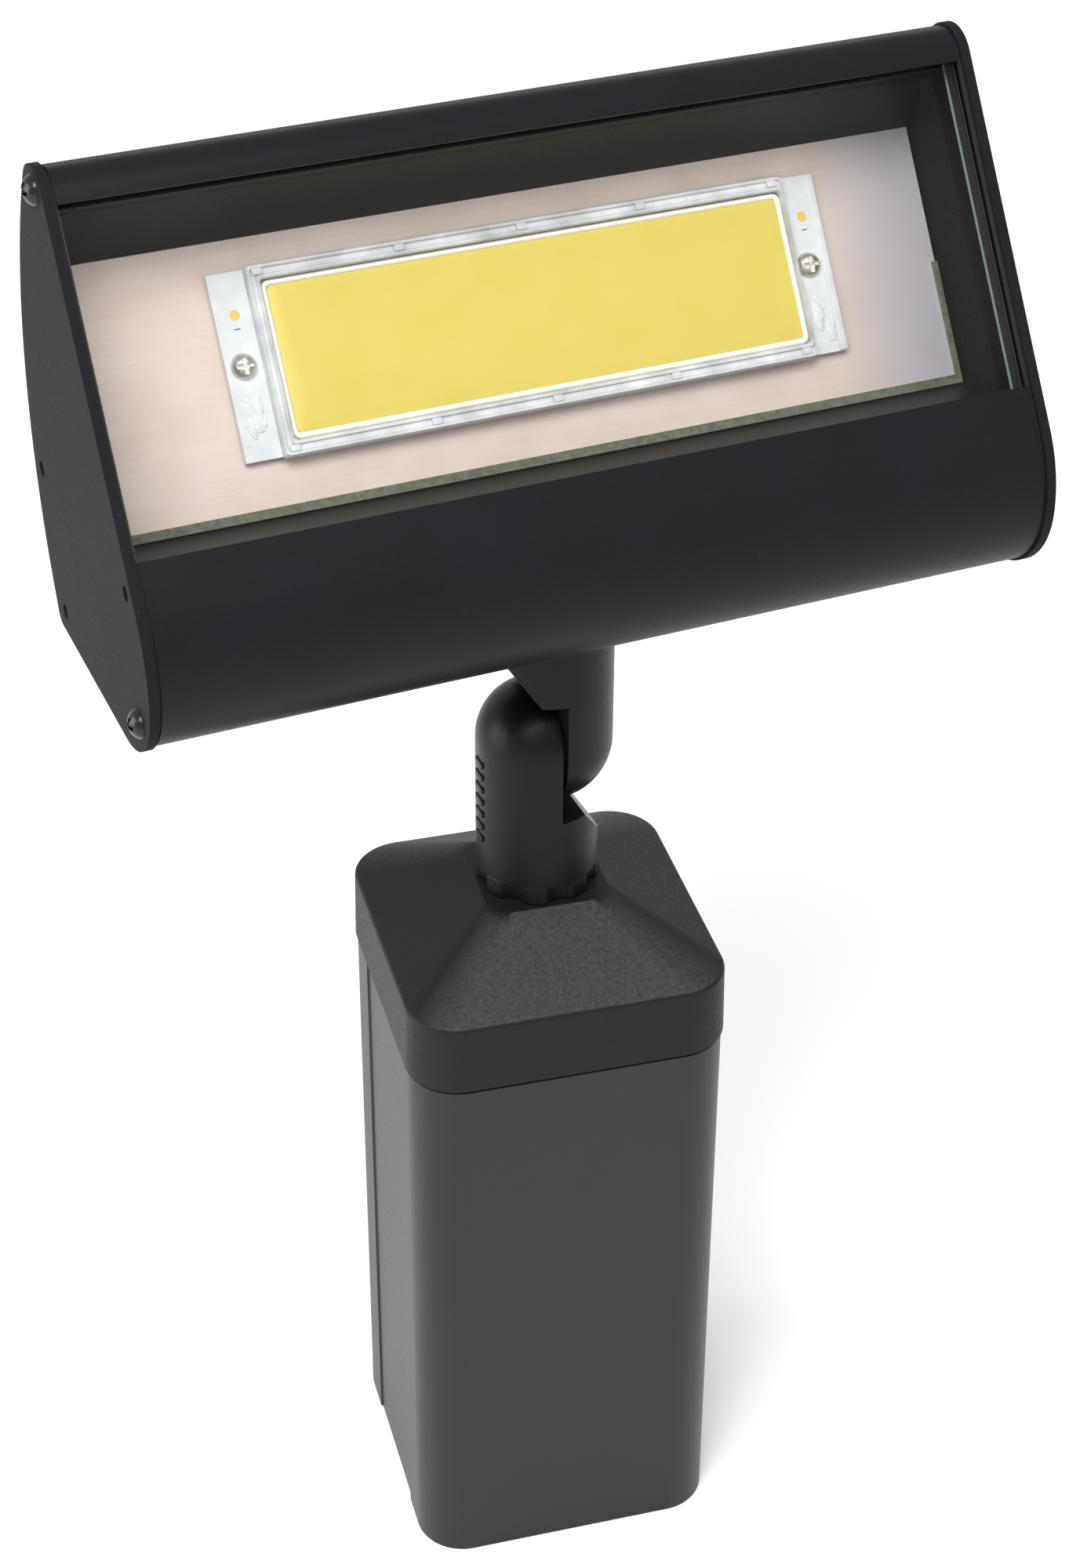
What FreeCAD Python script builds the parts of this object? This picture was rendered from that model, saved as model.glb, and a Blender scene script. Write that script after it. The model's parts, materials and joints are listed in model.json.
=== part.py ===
"""A landscape wall-wash floodlight on a square junction post.

Millimetres, +Z up.  The origin is the centre of the post's open foot, +X runs along
the post's front face, and the light shines towards -Y.

Three groups of parts move as one each: the post, the lower half of the knuckle that
screws into the post's cap, and the head with the upper half of the knuckle.  Knuckle
and head parts are drawn in frames of their own, whose origin is the tilt pivot and
whose X axis is the tilt axis.
"""
import FreeCAD, Part
import math
import os
import re

import Sketcher
from FreeCAD import Placement, Rotation, Vector

DIMENSIONS = {
    # square post
    "post_half_width": 38.1,
    "post_corner_radius": 12.0,
    "post_wall": 3.0,
    "tube_length": 152.8,
    "flute_half_width": 17.3,
    "flute_depth": 0.5,
    # cap on the post
    "cap_gasket_thickness": 0.8,
    "cap_gasket_inset": 0.9,
    "cap_overhang": 0.5,
    "cap_band_height": 17.9,
    "cap_band_taper": 1.0,
    "cap_shoulder_radius": 1.5,
    "cap_rise": 13.5,
    "cap_wall": 3.5,
    "hub_half_width": 14.8,
    "hub_corner_radius": 6.0,
    "skirt_depth": 10.0,
    "skirt_wall": 2.5,
    "skirt_clearance": 0.1,
    # knuckle
    "head_yaw": 7.6,
    "knuckle_reach": 33.5,
    "lower_radius": 14.3,
    "lower_face": 0.5,
    "upper_radius": 15.3,
    "upper_face": 1.0,
    "upper_offset": 2.3,
    "shoulder_distance": 16.1,
    "shoulder_flat": 6.8,
    "shoulder_slope": 56.0,
    "notch_margin": 1.0,
    "chamber_radius": 8.5,
    "chamber_depth": 5.5,
    "wireway_radius": 3.2,
    "wireway_offset": 3.6,
    "wireway_top": 4.6,
    "stem_radius": 10.4,
    "stem_length": 16.5,
    "running_clearance": 0.05,
    "bolt_radius": 2.5,
    "bolt_seat": 10.0,
    "bolt_end": 9.0,
    "bolt_tip_gap": 0.5,
    "bolt_head_radius": 4.25,
    "bolt_head_length": 4.6,
    "bolt_socket_radius": 2.3,
    "bolt_socket_depth": 2.6,
    "counterbore_radius": 5.2,
    "washer_radius": 4.8,
    "washer_thickness": 1.0,
    "seal_outer_radius": 12.8,
    "seal_inner_radius": 9.2,
    "locknut_radius": 14.3,
    "locknut_thickness": 4.9,
    "locknut_lobes": 8,
    "scallop_radius": 4.6,
    "scallop_distance": 17.4,
    "floor_gasket_radius": 14.8,
    "floor_gasket_thickness": 4.4,
    "stem_nut_radius": 15.0,
    "stem_nut_thickness": 6.0,
    # head: outline of its cross-section, from the tilt pivot
    "head_length": 207.0,
    "aperture_lean": 34.4,
    "aperture_distance": 72.5,
    "nose_radius": 8.6,
    "front_radius": 30.2,
    "front_height": 58.5,
    "chin_radius": 20.6,
    "heel_radius": 3.5,
    "back_radius": 115.0,
    "back_height": 87.0,
    "back_reach": 40.85,
    "end_plate_thickness": 2.2,
    "end_gasket_thickness": 0.6,
    "end_gasket_inset": 1.1,
    "end_gasket_width": 0.9,
    "extrusion_inset": 0.6,
    "extrusion_wall": 2.6,
    # head: light box, as depth behind the aperture line and height up its slope
    "aperture_low": 52.0,
    "aperture_high": 124.0,
    "frame_front": 1.5,
    "frame_back": 10.0,
    "bend_depth": 13.0,
    "box_low": 57.5,
    "box_high": 116.5,
    "box_wall": 2.4,
    "lip_depth": 2.0,
    "lens_gasket_thickness": 0.8,
    "lens_gasket_width": 1.6,
    "lens_thickness": 4.8,
    "lens_grip": 2.5,
    "slot_gap": 0.15,
    "tray_depth": 30.5,
    "tray_thickness": 2.4,
    "tray_grip": 2.0,
    "tray_rib": 1.6,
    "tray_ledge": 1.5,
    "sealant_width": 2.0,
    "sealant_height": 1.2,
    "sealant_rise": 28.0,
    # head: end-plate screws and open screw ports, from the tilt pivot
    "nose_screw_across": 17.5,
    "nose_screw_up": 143.7,
    "chin_screw_across": -32.5,
    "chin_screw_up": 48.0,
    "back_port_across": 33.8,
    "back_port_up": 73.0,
    "heel_port_across": 24.2,
    "heel_port_up": 42.7,
    "lip_port_across": -29.6,
    "lip_port_up": 76.9,
    "screw_boss_radius": 4.2,
    "port_boss_radius": 3.4,
    "port_radius": 1.3,
    "port_hole_radius": 1.7,
    "screw_radius": 1.75,
    "thread_clearance": 0.05,
    "hole_clearance": 0.15,
    "screw_head_height": 2.4,
    "recess_length": 3.7,
    "recess_width": 0.9,
    "recess_depth": 1.2,
    "end_screw_head_radius": 3.4,
    "end_screw_length": 12.0,
    # light engine on the tray: each shift is along the head from its middle
    "engine_height": 89.5,
    "pad_shift": 3.3,
    "pad_length": 114.0,
    "pad_width": 38.0,
    "pad_thickness": 0.5,
    "board_shift": 3.3,
    "board_length": 141.0,
    "board_width": 40.0,
    "board_thickness": 1.6,
    "phosphor_shift": 4.3,
    "phosphor_length": 118.4,
    "phosphor_width": 31.3,
    "phosphor_thickness": 0.7,
    "dam_shift": 4.3,
    "dam_length": 121.2,
    "dam_width": 34.1,
    "dam_thickness": 1.0,
    "cover_shift": 3.0,
    "cover_length": 124.4,
    "cover_width": 41.2,
    "cover_thickness": 2.4,
    "board_screw_shift": 2.6,
    "board_screw_reach": 65.9,
    "board_screw_head_radius": 2.9,
    "board_screw_length": 7.0,
    "test_pad_reach": 66.1,
    "test_pad_radius": 1.1,
    "test_pad_up": 10.9,
    "test_pad_thickness": 0.1,
    "blob_reach": 66.5,
    "blob_down": 13.0,
    "blob_radius": 2.6,
    "blob_height": 1.0,
    # driver behind the tray
    "driver_length": 68.0,
    "driver_width": 30.0,
    "driver_height": 20.0,
    "driver_start": 18.0,
    "driver_front": 13.0,
    "driver_tape_thickness": 0.8,
    "lead_radius": 0.9,
    "lead_hole_radius": 1.5,
    "lead_bend": 3.0,
    "lead_run": 8.0,
    "lead_height": 16.5,
}

doc = FreeCAD.newDocument("floodlight")
sheet = doc.addObject("Spreadsheet::Sheet", "Sheet")
for row, (alias, number) in enumerate(DIMENSIONS.items(), start=1):
    sheet.set(f"A{row}", alias.replace("_", " "))
    sheet.set(f"B{row}", str(number))
    sheet.setAlias(f"B{row}", alias)
doc.recompute()


def size(*aliases):
    """Add up driving dimensions read from the sheet."""
    return sum(float(getattr(sheet, alias)) for alias in aliases)


def formula(text):
    """Write a formula in aliases as an expression on the sheet's cells."""
    return re.sub(r"\b[a-z]+(_[a-z]+)+\b", r"Sheet.\g<0>", text)


# ------------------------------------------------------------------ shared places

CAP_BASE = "(tube_length + cap_gasket_thickness)"
CAP_SHOULDER = f"({CAP_BASE} + cap_band_height)"
TAPER_LOSS = "cap_band_height * tan(cap_band_taper * 1 deg)"
FLOOR = "(knuckle_reach + floor_gasket_thickness - extrusion_inset)"
HALF_EXTRUSION = "(head_length / 2 - end_plate_thickness - end_gasket_thickness)"
TRAY_FACE = "(tray_depth - aperture_distance)"
THREAD_HOLE = "(screw_radius + thread_clearance)"
SCREW_HOLE = "(screw_radius + hole_clearance)"
SIDES = (("left", -1), ("right", 1))

cap_shoulder = size("tube_length", "cap_gasket_thickness", "cap_band_height")
pivot_height = cap_shoulder + size("cap_rise", "locknut_thickness", "knuckle_reach")
inner_floor = size("knuckle_reach", "floor_gasket_thickness", "extrusion_wall")
half_extrusion = size("head_length") / 2 - size("end_plate_thickness", "end_gasket_thickness")
tray_face = size("tray_depth") - size("aperture_distance")
lean = math.radians(size("aperture_lean"))

POST_FRAME = Placement()
LOWER_FRAME = Placement(Vector(0, 0, pivot_height), Rotation(Vector(0, 0, 1), size("head_yaw")))
HEAD_FRAME = LOWER_FRAME * Placement(Vector(size("upper_offset"), 0, 0), Rotation())
UPPER_FRAME = HEAD_FRAME * Placement(Vector(0, 0, 0), Rotation(Vector(0, 1, 0), 180))
# In the slope frame Y runs into the head, square to the lens, and Z runs up the slope.
SLOPE_FRAME = HEAD_FRAME * Placement(Vector(0, 0, 0), Rotation(Vector(-1, 0, 0), size("aperture_lean")))


# ------------------------------------------------------------------ sketching

def new_body(node, frame):
    """Start a PartDesign body that is one named piece of the light."""
    body = doc.addObject("PartDesign::Body", node)
    body.Label = node
    body.Placement = frame
    return body


def origin_part(body, role):
    """Find one of the body's own origin planes or axes."""
    return next(item for item in body.Origin.OriginFeatures if item.Role == role)


def new_sketch(body, plane, offset="0", sloped=False):
    """Add a sketch on an origin plane of the body, moved along the plane's normal.

    A sloped sketch lies on YZ and is turned so that it reads (depth, height up slope).
    """
    sketch = body.newObject("Sketcher::SketchObject", f"{body.Name}_sketch")
    sketch.AttachmentSupport = [(origin_part(body, plane), "")]
    sketch.MapMode = "FlatFace"
    if sloped:
        turn = Rotation(Vector(0, 0, -1), size("aperture_lean"))
        sketch.AttachmentOffset = Placement(Vector(0, 0, 0), turn)
        sketch.setExpression("AttachmentOffset.Rotation.Angle", formula("aperture_lean * 1 deg"))
    sketch.setExpression("AttachmentOffset.Base.z", formula(offset))
    return sketch


def constrain(sketch, kind, *where, start, to):
    """Add a dimension to a sketch, with a start value, and bind it to a formula."""
    index = sketch.addConstraint(Sketcher.Constraint(kind, *where, start))
    sketch.setExpression(f"Constraints[{index}]", formula(to))


def polygon(sketch, corners):
    """Draw a closed polygon whose corners are pairs of formulas, anticlockwise."""
    first = sketch.GeometryCount
    count = len(corners)
    step = 2 * math.pi / count
    start = [Vector(math.cos(step * index), math.sin(step * index), 0) for index in range(count)]
    for index in range(count):
        sketch.addGeometry(Part.LineSegment(start[index], start[(index + 1) % count]), False)
    for index, (across, along) in enumerate(corners):
        here = first + index
        sketch.addConstraint(Sketcher.Constraint("Coincident", here, 2, first + (index + 1) % count, 1))
        constrain(sketch, "DistanceX", -1, 1, here, 1, start=start[index].x, to=across)
        constrain(sketch, "DistanceY", -1, 1, here, 1, start=start[index].y, to=along)


def rectangle(sketch, left, right, low, high):
    """Draw an upright rectangle between four formulas."""
    polygon(sketch, [(left, low), (right, low), (right, high), (left, high)])


def circle(sketch, across, along, radius):
    """Draw a circle from three formulas."""
    index = sketch.addGeometry(Part.Circle(Vector(1, 1, 0), Vector(0, 0, 1), 1), False)
    constrain(sketch, "DistanceX", -1, 1, index, 3, start=1, to=across)
    constrain(sketch, "DistanceY", -1, 1, index, 3, start=1, to=along)
    constrain(sketch, "Radius", index, start=1, to=radius)


def ring(sketch, outer, inner):
    """Draw two circles round the sketch's origin."""
    circle(sketch, "0", "0", outer)
    circle(sketch, "0", "0", inner)


def arc(centre, radius, start, end):
    """Make an anticlockwise arc between two angles in radians."""
    return Part.ArcOfCircle(Part.Circle(centre, Vector(0, 0, 1), radius), start, end)


def join_smoothly(sketch, first, count):
    """Make each curve of a closed chain run into the next without a corner."""
    for index in range(count):
        following = first + (index + 1) % count
        sketch.addConstraint(Sketcher.Constraint("Tangent", first + index, 2, following, 1))


def rounded_square(sketch, half, radius):
    """Draw a square round the origin with round corners, from two formulas."""
    first = sketch.GeometryCount
    core = 3.0
    bend = 1.0
    for quarter in range(4):
        angle = quarter * math.pi / 2
        turn = Rotation(Vector(0, 0, 1), math.degrees(angle))
        ends = [turn.multVec(Vector(core + bend, end * core, 0)) for end in (-1, 1)]
        corner = turn.multVec(Vector(core, core, 0))
        sketch.addGeometry(Part.LineSegment(*ends), False)
        sketch.addGeometry(arc(corner, bend, angle, angle + math.pi / 2), False)
    join_smoothly(sketch, first, 8)
    reach = f"({half} - ({radius}))"
    for quarter, (x_sign, y_sign) in enumerate(((1, 1), (-1, 1), (-1, -1), (1, -1))):
        corner = first + 2 * quarter + 1
        constrain(sketch, "DistanceX", -1, 1, corner, 3, start=x_sign * core, to=f"{x_sign} * {reach}")
        constrain(sketch, "DistanceY", -1, 1, corner, 3, start=y_sign * core, to=f"{y_sign} * {reach}")
    constrain(sketch, "Radius", first + 1, start=bend, to=radius)
    for quarter in (1, 2, 3):
        sketch.addConstraint(Sketcher.Constraint("Equal", first + 1, first + 2 * quarter + 1))


def head_outline(sketch, *insets):
    """Draw the head's cross-section, moved inwards by the sum of the named insets.

    Floor, heel, back, nose, straight aperture line, front bulge and chin follow each
    other anticlockwise, every one tangent to the next.
    """
    inset = size(*insets) if insets else 0.0
    inset_formula = "(" + " + ".join(insets or ("0",)) + ")"
    inward = Vector(math.cos(lean), -math.sin(lean), 0)
    upward = Vector(math.sin(lean), math.cos(lean), 0)
    floor = size("knuckle_reach", "floor_gasket_thickness") - size("extrusion_inset")

    back = Vector(size("back_reach") - size("back_radius"), size("back_height"), 0)
    nose_depth = size("nose_radius") - size("aperture_distance")
    nose_reach = size("back_radius") - size("nose_radius")
    nose_rise = math.sqrt(nose_reach ** 2 - (inward.dot(back) - nose_depth) ** 2)
    nose = inward * nose_depth + upward * (upward.dot(back) + nose_rise)
    front_depth = size("front_radius") - size("aperture_distance")
    front_rise = (size("front_height") + front_depth * math.sin(lean)) / math.cos(lean)
    front = inward * front_depth + upward * front_rise
    chin_height = floor + size("chin_radius")
    chin_run = math.sqrt((size("front_radius") - size("chin_radius")) ** 2 - (chin_height - front.y) ** 2)
    chin = Vector(front.x - chin_run, chin_height, 0)
    heel_height = floor + size("heel_radius")
    heel_run = math.sqrt((size("back_radius") - size("heel_radius")) ** 2 - (heel_height - back.y) ** 2)
    heel = Vector(back.x + heel_run, heel_height, 0)

    radii = {name: size(f"{name}_radius") - inset for name in ("heel", "back", "nose", "front", "chin")}
    heel_end = math.atan2(heel.y - back.y, heel.x - back.x)
    nose_start = math.atan2(nose.y - back.y, nose.x - back.x)
    straight = math.pi - lean
    chin_start = 2 * math.pi + math.atan2(chin.y - front.y, chin.x - front.x)
    floor_ends = [Vector(place.x, floor + inset, 0) for place in (chin, heel)]
    aperture_ends = [nose - inward * radii["nose"], front - inward * radii["front"]]

    first = sketch.GeometryCount
    sketch.addGeometry(Part.LineSegment(*floor_ends), False)
    sketch.addGeometry(arc(heel, radii["heel"], -math.pi / 2, heel_end), False)
    sketch.addGeometry(arc(back, radii["back"], heel_end, nose_start), False)
    sketch.addGeometry(arc(nose, radii["nose"], nose_start, straight), False)
    sketch.addGeometry(Part.LineSegment(*aperture_ends), False)
    sketch.addGeometry(arc(front, radii["front"], straight, chin_start), False)
    sketch.addGeometry(arc(chin, radii["chin"], chin_start, 1.5 * math.pi), False)
    join_smoothly(sketch, first, 7)

    curves = {"heel": 1, "back": 2, "nose": 3, "front": 5, "chin": 6}
    for name, index in curves.items():
        radius = f"{name}_radius - {inset_formula}"
        constrain(sketch, "Radius", first + index, start=radii[name], to=radius)
    sketch.addConstraint(Sketcher.Constraint("Horizontal", first))
    constrain(sketch, "DistanceY", -1, 1, first, 1, start=floor + inset, to=f"{FLOOR} + {inset_formula}")
    constrain(sketch, "DistanceY", -1, 1, first + 5, 3, start=front.y, to="front_height")
    constrain(sketch, "DistanceY", -1, 1, first + 2, 3, start=back.y, to="back_height")
    constrain(sketch, "DistanceX", -1, 1, first + 2, 3, start=back.x, to="back_reach - back_radius")
    distance = size("aperture_distance") - inset
    constrain(sketch, "Distance", -1, 1, first + 4, start=distance, to=f"aperture_distance - {inset_formula}")
    slope = -math.pi / 2 - lean
    constrain(sketch, "Angle", first + 4, start=slope, to="-(90 + aperture_lean) * 1 deg")


# ------------------------------------------------------------------ features

def pad(body, sketch, length, backwards=False, both_ways=False, taper="0"):
    """Thicken a sketch into the body."""
    feature = body.newObject("PartDesign::Pad", f"{body.Name}_pad")
    feature.Profile = sketch
    feature.Reversed = backwards
    feature.Midplane = both_ways
    feature.setExpression("Length", formula(length))
    feature.setExpression("TaperAngle", formula(taper))
    doc.recompute()
    return feature


def pocket(body, sketch, length, along_normal=False, both_ways=False):
    """Cut a sketch out of the body, and make sure that it cut something."""
    before = body.Shape.Volume
    feature = body.newObject("PartDesign::Pocket", f"{body.Name}_pocket")
    feature.Profile = sketch
    feature.Reversed = along_normal
    feature.Midplane = both_ways
    feature.setExpression("Length", formula(length))
    doc.recompute()
    if body.Shape.Volume >= before:
        raise RuntimeError(f"{feature.Name} in {body.Label} cuts nothing")
    return feature


def loft(body, lower, upper):
    """Join two sketches with straight sides."""
    feature = body.newObject("PartDesign::AdditiveLoft", f"{body.Name}_loft")
    feature.Profile = lower
    feature.Sections = [upper]
    feature.Ruled = True
    doc.recompute()
    return feature


def revolve(body, sketch):
    """Turn a sketch on the XZ plane all the way round the Z axis."""
    feature = body.newObject("PartDesign::Revolution", f"{body.Name}_turned")
    feature.Profile = sketch
    feature.ReferenceAxis = (sketch, ["V_Axis"])
    feature.Angle = 360
    doc.recompute()
    return feature


def polar_pattern(body, feature, count):
    """Repeat a feature evenly round the body's Z axis."""
    pattern = body.newObject("PartDesign::PolarPattern", f"{body.Name}_pattern")
    pattern.Originals = [feature]
    pattern.Axis = (origin_part(body, "Z_Axis"), [""])
    pattern.Angle = 360
    pattern.setExpression("Occurrences", formula(count))
    body.Tip = pattern
    doc.recompute()


def block(name, frame, low, spans):
    """Make a box from its lowest corner in a frame and three formulas for its size."""
    box = doc.addObject("Part::Box", name)
    box.Placement = frame * Placement(low, Rotation())
    for side, span in zip(("Length", "Width", "Height"), spans):
        box.setExpression(side, formula(span))
    return box


def cylinder(name, frame, base, radius, height):
    """Make a cylinder in the slope frame that runs into the head from its base."""
    into = Rotation(Vector(1, 0, 0), -90)
    rod = doc.addObject("Part::Cylinder", name)
    rod.Placement = frame * Placement(base, into)
    rod.setExpression("Radius", formula(radius))
    rod.setExpression("Height", formula(height))
    return rod


def cut(node, base, tools):
    """Take one or more tools away from a base."""
    result = doc.addObject("Part::Cut", node)
    result.Base = base
    result.Tool = tools[0] if len(tools) == 1 else fuse(f"{node}_tools", tools)
    result.Label = node
    return result


def fuse(node, pieces):
    """Join pieces into one."""
    result = doc.addObject("Part::MultiFuse", node)
    result.Shapes = pieces
    result.Label = node
    return result


def shapes_node(node, shapes):
    """Hold shapes that repeat, such as a set of screws, as separate solids of one node."""
    feature = doc.addObject("Part::Feature", node)
    feature.Shape = Part.makeCompound(shapes)
    feature.Label = node
    return feature


# ------------------------------------------------------------------ post

def post_tube():
    """The square aluminium tube, with a shallow flute down each side face."""
    body = new_body("post_tube", POST_FRAME)
    outside = new_sketch(body, "XY_Plane")
    rounded_square(outside, "post_half_width", "post_corner_radius")
    pad(body, outside, "tube_length")
    inside = new_sketch(body, "XY_Plane")
    rounded_square(inside, "(post_half_width - post_wall)", "post_corner_radius - post_wall")
    pocket(body, inside, "tube_length", along_normal=True)
    flutes = new_sketch(body, "XY_Plane")
    floor_of_flute = "(post_half_width - flute_depth)"
    beyond = "(post_half_width + post_wall)"
    rectangle(flutes, floor_of_flute, beyond, "-flute_half_width", "flute_half_width")
    rectangle(flutes, f"-{beyond}", f"-{floor_of_flute}", "-flute_half_width", "flute_half_width")
    pocket(body, flutes, "tube_length", along_normal=True)
    return body


def cap_gasket():
    """The flat gasket between the tube's end and the cap."""
    body = new_body("cap_gasket", POST_FRAME)
    sketch = new_sketch(body, "XY_Plane", "tube_length")
    rounded_square(sketch, "(post_half_width - cap_gasket_inset)", "post_corner_radius - cap_gasket_inset")
    rounded_square(sketch, "(post_half_width - post_wall)", "post_corner_radius - post_wall")
    pad(body, sketch, "cap_gasket_thickness")
    return body


def post_cap():
    """The cast cap: a skirt in the tube, a band, and a low pyramid up to a flat hub."""
    body = new_body("post_cap", POST_FRAME)
    skirt_inset = "post_wall - skirt_clearance"
    skirt = new_sketch(body, "XY_Plane", f"{CAP_BASE} - skirt_depth")
    rounded_square(skirt, f"(post_half_width - {skirt_inset})", f"post_corner_radius - {skirt_inset}")
    pad(body, skirt, "skirt_depth + cap_wall")

    band = new_sketch(body, "XY_Plane", CAP_BASE)
    rounded_square(band, "(post_half_width + cap_overhang)", "post_corner_radius + cap_overhang")
    pad(body, band, "cap_band_height", taper="-cap_band_taper * 1 deg")

    foot = new_sketch(body, "XY_Plane", CAP_SHOULDER)
    change = f"cap_overhang - {TAPER_LOSS}"
    rounded_square(foot, f"(post_half_width + {change})", f"post_corner_radius + {change}")
    hub = new_sketch(body, "XY_Plane", f"{CAP_SHOULDER} + cap_rise")
    rounded_square(hub, "hub_half_width", "hub_corner_radius")
    pyramid = loft(body, foot, hub)
    round_shoulder(body, pyramid)

    room = new_sketch(body, "XY_Plane", f"{CAP_BASE} - skirt_depth")
    room_inset = f"{skirt_inset} - skirt_wall"
    rounded_square(room, f"(post_half_width - {room_inset})", f"post_corner_radius - {room_inset}")
    pocket(body, room, "skirt_depth + cap_band_height - cap_wall", along_normal=True)
    bore = new_sketch(body, "XY_Plane", f"{CAP_SHOULDER} + cap_rise")
    circle(bore, "0", "0", "stem_radius + running_clearance")
    pocket(body, bore, "cap_rise + cap_band_height")
    return body


def round_shoulder(body, base):
    """Round the cap's edge where the band turns into the pyramid."""
    tolerance = 0.01
    edges = [
        f"Edge{index}"
        for index, edge in enumerate(base.Shape.Edges, start=1)
        if all(abs(vertex.Z - cap_shoulder) < tolerance for vertex in edge.Vertexes)
    ]
    rounding = body.newObject("PartDesign::Fillet", "post_cap_rounding")
    rounding.Base = (base, edges)
    rounding.setExpression("Radius", formula("cap_shoulder_radius"))
    doc.recompute()


# ------------------------------------------------------------------ knuckle

def knuckle_half(node, frame, radius, face):
    """One half of the knuckle: a round casting whose far side is cut away for its twin.

    The dome is centred on the pivot, the stem points down, and the mating face looks
    towards +X.
    """
    body = new_body(node, frame)
    turned = new_sketch(body, "XZ_Plane")
    knuckle_profile(turned, radius)
    revolve(body, turned)

    notch = new_sketch(body, "XZ_Plane")
    outside = f"({radius} + notch_margin)"
    drop = f"({outside} - shoulder_flat) * tan(shoulder_slope * 1 deg)"
    corners = [
        (face, "-shoulder_distance"),
        ("shoulder_flat", "-shoulder_distance"),
        (outside, f"-shoulder_distance - {drop}"),
        (outside, outside),
        (face, outside),
    ]
    polygon(notch, corners)
    pocket(body, notch, f"2 * {outside}", both_ways=True)

    chamber = new_sketch(body, "YZ_Plane", face)
    circle(chamber, "0", "0", "chamber_radius")
    pocket(body, chamber, "chamber_depth")
    wireway = new_sketch(body, "XY_Plane", "-wireway_top")
    circle(wireway, "-wireway_offset", "0", "wireway_radius")
    pocket(body, wireway, "knuckle_reach + stem_length")
    return body


def knuckle_profile(sketch, radius):
    """Draw half of the casting's outline: dome, side, base and threaded stem."""
    side = size(radius)
    stem = size("stem_radius")
    base = -size("knuckle_reach")
    end = base - size("stem_length")
    sketch.addGeometry(arc(Vector(0, 0, 0), side, 0, math.pi / 2), False)
    places = [(0, side), (0, end), (stem, end), (stem, base), (side, base), (side, 0)]
    for near, far in zip(places, places[1:]):
        sketch.addGeometry(Part.LineSegment(Vector(*near, 0), Vector(*far, 0)), False)
    sketch.addConstraint(Sketcher.Constraint("Coincident", 0, 3, -1, 1))
    sketch.addConstraint(Sketcher.Constraint("PointOnObject", 0, 1, -1))
    sketch.addConstraint(Sketcher.Constraint("PointOnObject", 0, 2, -2))
    for line, direction in enumerate(("Vertical", "Horizontal") * 2 + ("Vertical",), start=1):
        sketch.addConstraint(Sketcher.Constraint(direction, line))
        sketch.addConstraint(Sketcher.Constraint("Coincident", line - 1, 2, line, 1))
    sketch.addConstraint(Sketcher.Constraint("Coincident", 5, 2, 0, 1))
    constrain(sketch, "Radius", 0, start=side, to=radius)
    constrain(sketch, "DistanceX", -1, 1, 3, 1, start=stem, to="stem_radius")
    constrain(sketch, "DistanceY", -1, 1, 3, 1, start=end, to="-knuckle_reach - stem_length")
    constrain(sketch, "DistanceY", -1, 1, 4, 1, start=base, to="-knuckle_reach")


def lower_knuckle():
    """The half that screws into the cap, with a blind thread for the pivot bolt."""
    body = knuckle_half("lower_knuckle", LOWER_FRAME, "lower_radius", "lower_face")
    thread = new_sketch(body, "YZ_Plane", "lower_face")
    circle(thread, "0", "0", "bolt_radius + running_clearance")
    pocket(body, thread, "lower_face + bolt_end + bolt_tip_gap")
    return body


def upper_knuckle():
    """The half that carries the head, counterbored for the pivot bolt's head."""
    body = knuckle_half("upper_knuckle", UPPER_FRAME, "upper_radius", "upper_face")
    hole = new_sketch(body, "YZ_Plane", "upper_face")
    circle(hole, "0", "0", "bolt_radius + running_clearance")
    pocket(body, hole, "2 * upper_radius")
    counterbore = new_sketch(body, "YZ_Plane", "upper_offset - bolt_seat")
    circle(counterbore, "0", "0", "counterbore_radius")
    pocket(body, counterbore, "upper_radius")
    return body


def pivot_bolt():
    """The socket-head bolt through both halves."""
    body = new_body("pivot_bolt", LOWER_FRAME)
    shank = new_sketch(body, "YZ_Plane", "-bolt_end")
    circle(shank, "0", "0", "bolt_radius")
    pad(body, shank, "bolt_end + bolt_seat + washer_thickness + bolt_head_length / 2")
    head = new_sketch(body, "YZ_Plane", "bolt_seat + washer_thickness")
    circle(head, "0", "0", "bolt_head_radius")
    pad(body, head, "bolt_head_length")
    socket = new_sketch(body, "YZ_Plane", "bolt_seat + washer_thickness + bolt_head_length")
    hexagon(socket, "bolt_socket_radius")
    pocket(body, socket, "bolt_socket_depth")
    return body


def hexagon(sketch, radius):
    """Draw a hexagon round the sketch's origin, from a formula for its corner radius."""
    angles = range(0, 360, 60)
    polygon(sketch, [(f"{radius} * cos({angle} deg)", f"{radius} * sin({angle} deg)") for angle in angles])


def flat_ring(node, frame, plane, start, outer, inner, thickness):
    """A washer, gasket or seal: a flat ring on an origin plane."""
    body = new_body(node, frame)
    sketch = new_sketch(body, plane, start)
    ring(sketch, outer, inner)
    pad(body, sketch, thickness)
    return body


def base_locknut():
    """The lobed nut that jams the knuckle against the cap."""
    start = "-knuckle_reach - locknut_thickness"
    bore = "stem_radius + running_clearance"
    thickness = "locknut_thickness"
    body = flat_ring("base_locknut", LOWER_FRAME, "XY_Plane", start, "locknut_radius", bore, thickness)
    scallop = new_sketch(body, "XY_Plane", start)
    circle(scallop, "scallop_distance", "0", "scallop_radius")
    first = pocket(body, scallop, thickness, along_normal=True)
    polar_pattern(body, first, "locknut_lobes")
    return body


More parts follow.
